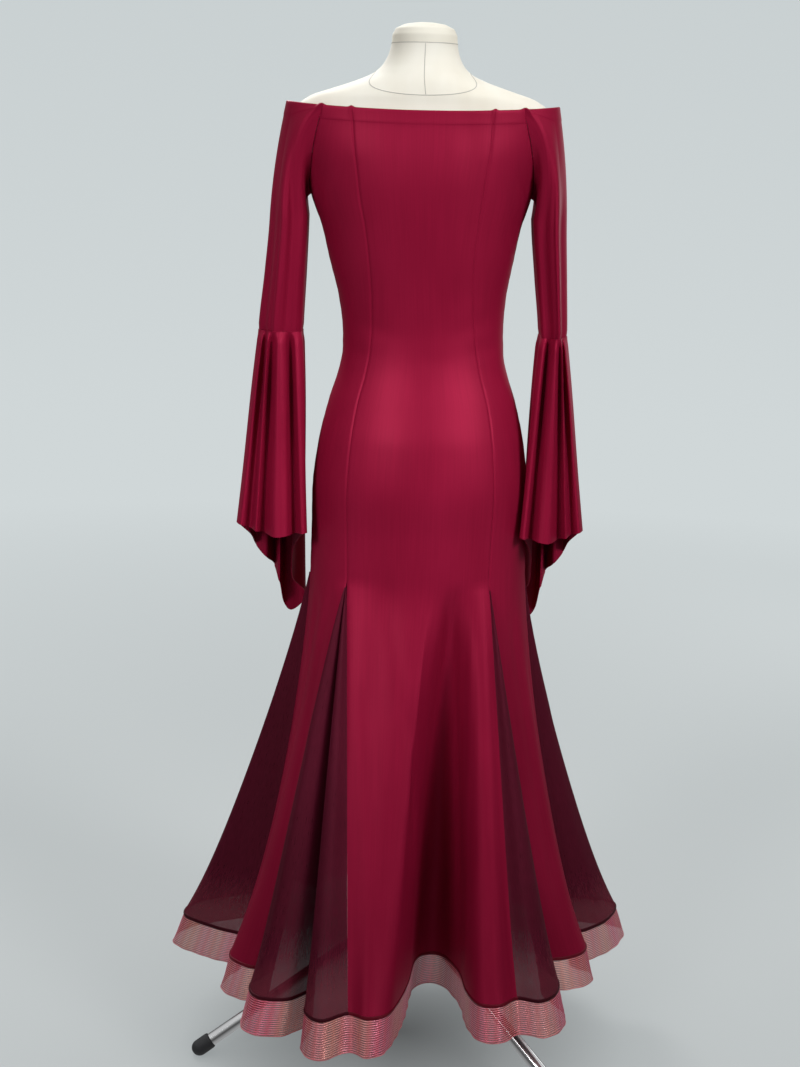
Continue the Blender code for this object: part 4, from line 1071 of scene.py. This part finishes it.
def make_stand(materials):
    """The pole, the hub, and three legs that end in rounded rubber feet."""
    heights = np.linspace(FORM_BOTTOM - POLE_TOP_GAP, HUB_PROFILE[0][0] - POLE_REACH, TUBE_ROWS)
    rings = [level_ring(height, POLE_RADIUS, TUBE_COLUMNS) for height in heights]
    place(lathe("pole_tube", rings, materials["chrome"]), "chrome", "stand_pole")
    rings = [level_ring(height, radius, HUB_COLUMNS) for height, radius in HUB_PROFILE]
    place(lathe("hub_casting", rings, materials["chrome"], 30.0), "chrome", "stand_hub")
    dome = FOOT_LENGTH - FOOT_RADIUS
    profile = list(FOOT_PROFILE)
    for bend in np.linspace(0.0, math.pi / 2, FOOT_DOME_STEPS + 1):
        radius = FOOT_RADIUS * max(math.cos(bend), FOOT_TIP_SHARE) * FOOT_SWELL
        profile.append((dome + FOOT_RADIUS * math.sin(bend), radius))
    for number, angle in enumerate(LEG_ANGLES, start=1):
        turn = math.radians(angle)
        out = Vector((math.cos(turn), math.sin(turn), 0.0))
        high = out * LEG_START + Vector((0.0, 0.0, LEG_START_HEIGHT))
        low = out * FOOT_REACH + Vector((0.0, 0.0, FOOT_AXIS_HEIGHT))
        axis = (low - high).normalized()
        side = axis.cross(Vector(UP)).normalized()
        rise = side.cross(axis)
        foot_start = low - axis * dome
        rings = [round_ring(high.lerp(foot_start, share), side, rise, LEG_RADIUS, TUBE_COLUMNS)[::-1]
                 for share in np.linspace(0.0, 1.0, TUBE_ROWS)]
        place(lathe(f"leg_tube_{number}", rings, materials["chrome"]), "chrome", f"stand_leg_{number}")
        rings = [round_ring(foot_start + axis * along, side, rise, radius, FOOT_COLUMNS)[::-1]
                 for along, radius in profile]
        for ring in rings:
            ring[:, 2] = np.maximum(ring[:, 2], 0.0)
        foot = lathe(f"foot_rubber_{number}", rings, materials["rubber"], 30.0)
        place(foot, "rubber", f"stand_foot_{number}")


def set_stops(color_ramp, stops):
    """Sets a colour ramp to pairs of a place and a colour."""
    while len(color_ramp.elements) < len(stops):
        color_ramp.elements.new(0.5)
    for element, (where, colour) in zip(color_ramp.elements, stops):
        element.position = where
        element.color = (*colour, 1.0)


class Nodes:
    """A material's node tree, with short ways to add to it."""

    def __init__(self, name):
        self.material = bpy.data.materials.new(name)
        self.material.use_nodes = True
        self.tree = self.material.node_tree
        self.shader = self.tree.nodes["Principled BSDF"]

    def add(self, kind, **settings):
        node = self.tree.nodes.new(kind)
        for key, value in settings.items():
            if key in node.inputs:
                node.inputs[key].default_value = value
            else:
                setattr(node, key, value)
        return node

    def join(self, start, end):
        self.tree.links.new(start, end)

    def drive(self, start, name):
        """Joins a value to one of the shader's own sockets."""
        self.join(start, self.shader.inputs[name])

    def set(self, **values):
        for key, value in values.items():
            self.shader.inputs[key.replace("_", " ")].default_value = value

    def scaled(self, source, output, scale):
        mapping = self.add("ShaderNodeMapping", Scale=scale)
        self.join(source.outputs[output], mapping.inputs["Vector"])
        return mapping.outputs["Vector"]

    def cloth_place(self, *scale):
        """The cloth's own coordinates, in metres times a scale for each way."""
        return self.scaled(self.add("ShaderNodeUVMap", uv_map="cloth"), "UV", scale)

    def object_place(self, *scale):
        """Object coordinates, in metres times a scale for each way."""
        return self.scaled(self.add("ShaderNodeTexCoord"), "Object", scale)

    def axes(self, vector):
        split = self.add("ShaderNodeSeparateXYZ")
        self.join(vector, split.inputs["Vector"])
        return split.outputs

    def noise(self, vector, scale, detail):
        node = self.add("ShaderNodeTexNoise", Scale=scale, Detail=detail)
        self.join(vector, node.inputs["Vector"])
        return node.outputs["Fac"]

    def span(self, value, low, high, to_low, to_high):
        ends = {"From Min": low, "From Max": high, "To Min": to_low, "To Max": to_high}
        node = self.add("ShaderNodeMapRange", **ends)
        self.join(value, node.inputs["Value"])
        return node.outputs["Result"]

    def colours(self, factor, *stops):
        node = self.add("ShaderNodeValToRGB")
        set_stops(node.color_ramp, stops)
        self.join(factor, node.inputs["Fac"])
        return node.outputs["Color"]

    def maths(self, operation, first, second=0.0):
        node = self.add("ShaderNodeMath", operation=operation)
        for socket, value in zip(node.inputs, (first, second)):
            if isinstance(value, (int, float)):
                socket.default_value = value
            else:
                self.join(value, socket)
        return node.outputs["Value"]

    def blend(self, first, share, second):
        """The given share of the first value, and the rest of the second."""
        rest = self.maths("MULTIPLY", second, 1.0 - share)
        return self.maths("ADD", self.maths("MULTIPLY", first, share), rest)

    def bump(self, height, strength, distance):
        node = self.add("ShaderNodeBump", Strength=strength, Distance=distance)
        self.join(height, node.inputs["Height"])
        self.drive(node.outputs["Normal"], "Normal")


def jersey_material():
    """Satin-faced stretch jersey: fine upright wales, a soft gloss and slow changes of tone."""
    n = Nodes("wine_jersey")
    wales = n.noise(n.cloth_place(420.0, 9.0, 1.0), 1.0, 2.0)
    clouds = n.noise(n.object_place(9.0, 9.0, 4.0), 1.0, 3.0)
    n.drive(n.colours(n.blend(wales, 0.35, clouds), *JERSEY_TONES), "Base Color")
    n.drive(n.span(clouds, 0.3, 0.7, 0.42, 0.52), "Roughness")
    knit = n.noise(n.cloth_place(1500.0, 700.0, 1.0), 1.0, 1.0)
    n.bump(n.blend(wales, 0.6, knit), 0.25, 0.0004)
    n.set(Specular_IOR_Level=0.12, Metallic=0.18, Specular_Tint=(1.0, 0.45, 0.58, 1.0))
    return n.material


def mesh_material():
    """Dark sheer stretch mesh: nearly opaque, but see-through low down, and paler there with painted light
    seen through it.
    """
    n = Nodes("dark_mesh")
    wales = n.noise(n.cloth_place(700.0, 60.0, 1.0), 1.0, 2.0)
    clouds = n.noise(n.object_place(7.0, 7.0, 3.0), 1.0, 2.0)
    height = n.axes(n.object_place(1.0, 1.0, 1.0))["Z"]
    cover = n.span(height, SHEER_LOW, SHEER_HIGH, 0.76, 0.945)
    # paler low down: painted light seen through the sheer hem
    tone = n.maths("ADD", n.blend(wales, 0.4, clouds), n.span(height, SHEER_LOW, SHEER_HIGH, 0.35, 0.0))
    n.drive(n.colours(tone, *MESH_TONES), "Base Color")
    n.drive(n.maths("ADD", cover, n.span(wales, 0.3, 0.7, -0.04, 0.04)), "Alpha")
    n.bump(wales, 0.15, 0.0003)
    n.set(Roughness=0.70, Specular_IOR_Level=0.08)
    return n.material


def braid_material():
    """Horsehair braid: two families of slanted glossy threads, see-through between them, with random patches
    of painted pink glint.
    """
    n = Nodes("horsehair_braid")
    place_on_cloth = n.axes(n.cloth_place(1.0, 1.0, 1.0))
    wobble = n.noise(n.cloth_place(14.0, 40.0, 1.0), 1.0, 2.0)
    per_metre = 2.0 * math.pi / THREAD_SPACING
    threads = []
    for slant in THREAD_SLANTS:
        along = n.maths("MULTIPLY", place_on_cloth["X"], per_metre * math.sin(math.radians(slant)))
        down = n.maths("MULTIPLY", place_on_cloth["Y"], per_metre * math.cos(math.radians(slant)))
        phase = n.maths("ADD", n.maths("ADD", along, down), n.maths("MULTIPLY", wobble, 5.0))
        threads.append(n.span(n.maths("SINE", phase), -0.5, 1.0, 0.0, 1.0))
    crossing = n.blend(threads[0], 0.75, threads[1])
    clouds = n.noise(n.object_place(14.0, 14.0, 14.0), 1.0, 2.0)
    tone = n.blend(crossing, 0.75, clouds)
    tan = n.colours(tone, *BRAID_TAN)
    pink = n.colours(tone, *BRAID_PINK_PAINTED_GLINT)
    # random patches where the braid turns from tan to pink, a painted glint
    painted_glint_patches = n.span(n.noise(n.cloth_place(13.0, 2.0, 1.0), 1.0, 1.0), 0.42, 0.58, 0.0, 1.0)
    mix = n.add("ShaderNodeMixRGB")
    for socket, value in (("Fac", painted_glint_patches), ("Color1", tan), ("Color2", pink)):
        n.join(value, mix.inputs[socket])
    n.drive(mix.outputs["Color"], "Base Color")
    n.drive(n.span(crossing, 0.0, 1.0, 0.48, 0.84), "Alpha")
    n.bump(crossing, 0.8, 0.0008)
    n.set(Roughness=0.30, Metallic=0.30, Specular_IOR_Level=0.6, Sheen_Weight=0.7, Sheen_Roughness=0.3)
    n.set(Sheen_Tint=(1.0, 0.14, 0.34, 1.0))
    return n.material


def plain_material(name, dark, light, roughness, metallic=0.0, grain=400.0, bump=0.15, specular=0.5):
    """A finish with a fine grain and slow changes of tone."""
    n = Nodes(name)
    clouds = n.noise(n.object_place(14.0, 14.0, 5.0), 1.0, 3.0)
    fine = n.noise(n.object_place(1.0, 1.0, 1.0), grain, 2.0)
    n.drive(n.colours(clouds, (0.3, dark), (0.7, light)), "Base Color")
    n.drive(n.span(fine, 0.3, 0.7, roughness * 0.85, roughness * 1.15), "Roughness")
    n.bump(fine, bump, 0.0003)
    n.set(Metallic=metallic, Specular_IOR_Level=specular)
    return n.material


def make_materials():
    made = {
        "wine_jersey": jersey_material(),
        "dark_mesh": mesh_material(),
        "horsehair_braid": braid_material(),
    }
    for name, (dark, light, roughness, more) in PLAIN_FINISHES.items():
        made[name] = plain_material(name, dark, light, roughness, **more)
    return made


def floor_material():
    """Pale paper that glows a little, less so under the skirt, where the dimmed glow is a painted shadow."""
    n = Nodes("floor_paper")
    n.set(Roughness=0.9, Specular_IOR_Level=0.1)
    n.set(Base_Color=(0.205, 0.210, 0.208, 1.0), Emission_Color=(1.02, 1.11, 1.13, 1.0))
    distance = n.add("ShaderNodeVectorMath", operation="LENGTH")
    n.join(n.object_place(1.0, 1.0, 1.0), distance.inputs[0])
    share = n.maths("DIVIDE", distance.outputs["Value"], FLOOR_RADIUS)
    # the dimmer glow near the pole is a painted shadow under the skirt
    stops = [(reach / FLOOR_RADIUS, (level, level, level)) for reach, level in FLOOR_GLOW_AND_PAINTED_SHADOW]
    n.drive(n.colours(share, *stops), "Emission Strength")
    n.material.cycles.emission_sampling = "NONE"
    return n.material


def make_floor():
    """A pale floor that sweeps up into a pale wall all round, far outside every view."""
    rings = [level_ring(0.0, radius, FLOOR_COLUMNS) for radius in (0.0001, 1.0, 3.0, FLOOR_RADIUS)]
    for step in range(1, FLOOR_BEND_STEPS + 1):
        bend = math.pi / 2 * step / FLOOR_BEND_STEPS
        height = FLOOR_RISE * (1.0 - math.cos(bend))
        rings.append(level_ring(height, FLOOR_RADIUS + FLOOR_RISE * math.sin(bend), FLOOR_COLUMNS))
    faces = quads(len(rings), FLOOR_COLUMNS, True).tolist()
    floor = add_object("floor", np.concatenate(rings), faces, [floor_material()])
    floor.visible_diffuse = False
    floor.visible_glossy = False


def area_light(name, place_at, look_at, size, power, spread=180.0):
    data = bpy.data.lights.new(name, "AREA")
    data.shape = "DISK"
    data.size = size
    data.energy = power
    data.spread = math.radians(spread)
    made = bpy.data.objects.new(name, data)
    made.location = place_at
    made.rotation_mode = "QUATERNION"
    made.rotation_quaternion = (Vector(look_at) - Vector(place_at)).to_track_quat("-Z", "Y")
    bpy.context.scene.collection.objects.link(made)


def make_lights():
    """A high soft key behind the gown's right shoulder, weak fills, and a room that is bright overhead."""
    area_light("key", (-2.1, 2.1, 2.9), (-0.06, 0.10, 1.12), 1.4, 4.6, 31.0)
    area_light("fill", (1.6, 2.3, 2.4), (0.10, 0.08, 0.98), 1.2, 2.1, 24.0)
    area_light("front_key", (1.1, -2.4, 3.0), (0.0, -0.1, 1.15), 1.3, 9.0, 60.0)
    area_light("front_fill", (-1.8, -2.6, 1.6), (0.0, 0.0, 0.75), 1.8, 10.0)
    world = bpy.data.worlds.new("studio")
    world.use_nodes = True
    tree = world.node_tree
    way = tree.nodes.new("ShaderNodeTexCoord")
    split = tree.nodes.new("ShaderNodeSeparateXYZ")
    height = tree.nodes.new("ShaderNodeMapRange")
    height.inputs["From Min"].default_value = -1.0
    tones = tree.nodes.new("ShaderNodeValToRGB")
    set_stops(tones.color_ramp, [(where, (level, level, level)) for where, level in ROOM_GLOW])
    tree.links.new(way.outputs["Generated"], split.inputs["Vector"])
    tree.links.new(split.outputs["Z"], height.inputs["Value"])
    tree.links.new(height.outputs["Result"], tones.inputs["Fac"])
    tree.links.new(tones.outputs["Color"], tree.nodes["Background"].inputs["Color"])
    bpy.context.scene.world = world


def make_camera():
    """The photograph's own view, from behind the gown."""
    data = bpy.data.cameras.new("camera")
    data.sensor_width = SENSOR
    data.lens = FOCAL_PIXELS / IMAGE_HEIGHT * SENSOR
    pitch = math.radians(CAMERA_PITCH)
    right = Vector((-1.0, 0.0, 0.0))
    up = Vector((0.0, -math.sin(pitch), math.cos(pitch)))
    forward = Vector((0.0, -math.cos(pitch), -math.sin(pitch)))
    roll = Matrix.Rotation(math.radians(CAMERA_ROLL), 4, "Z")
    turn = Matrix((right, up, -forward)).transposed().to_4x4() @ roll
    turn.translation = CAMERA_PLACE
    camera = bpy.data.objects.new("camera", data)
    camera.matrix_world = turn
    bpy.context.scene.collection.objects.link(camera)
    bpy.context.scene.camera = camera


bpy.context.scene.view_settings.view_transform = "Standard"
make_camera()
make_lights()
make_floor()
all_materials = make_materials()
for make in (make_form, make_stand, make_dress_body, make_binding, make_braid, make_sleeves, make_flounces):
    make(all_materials)
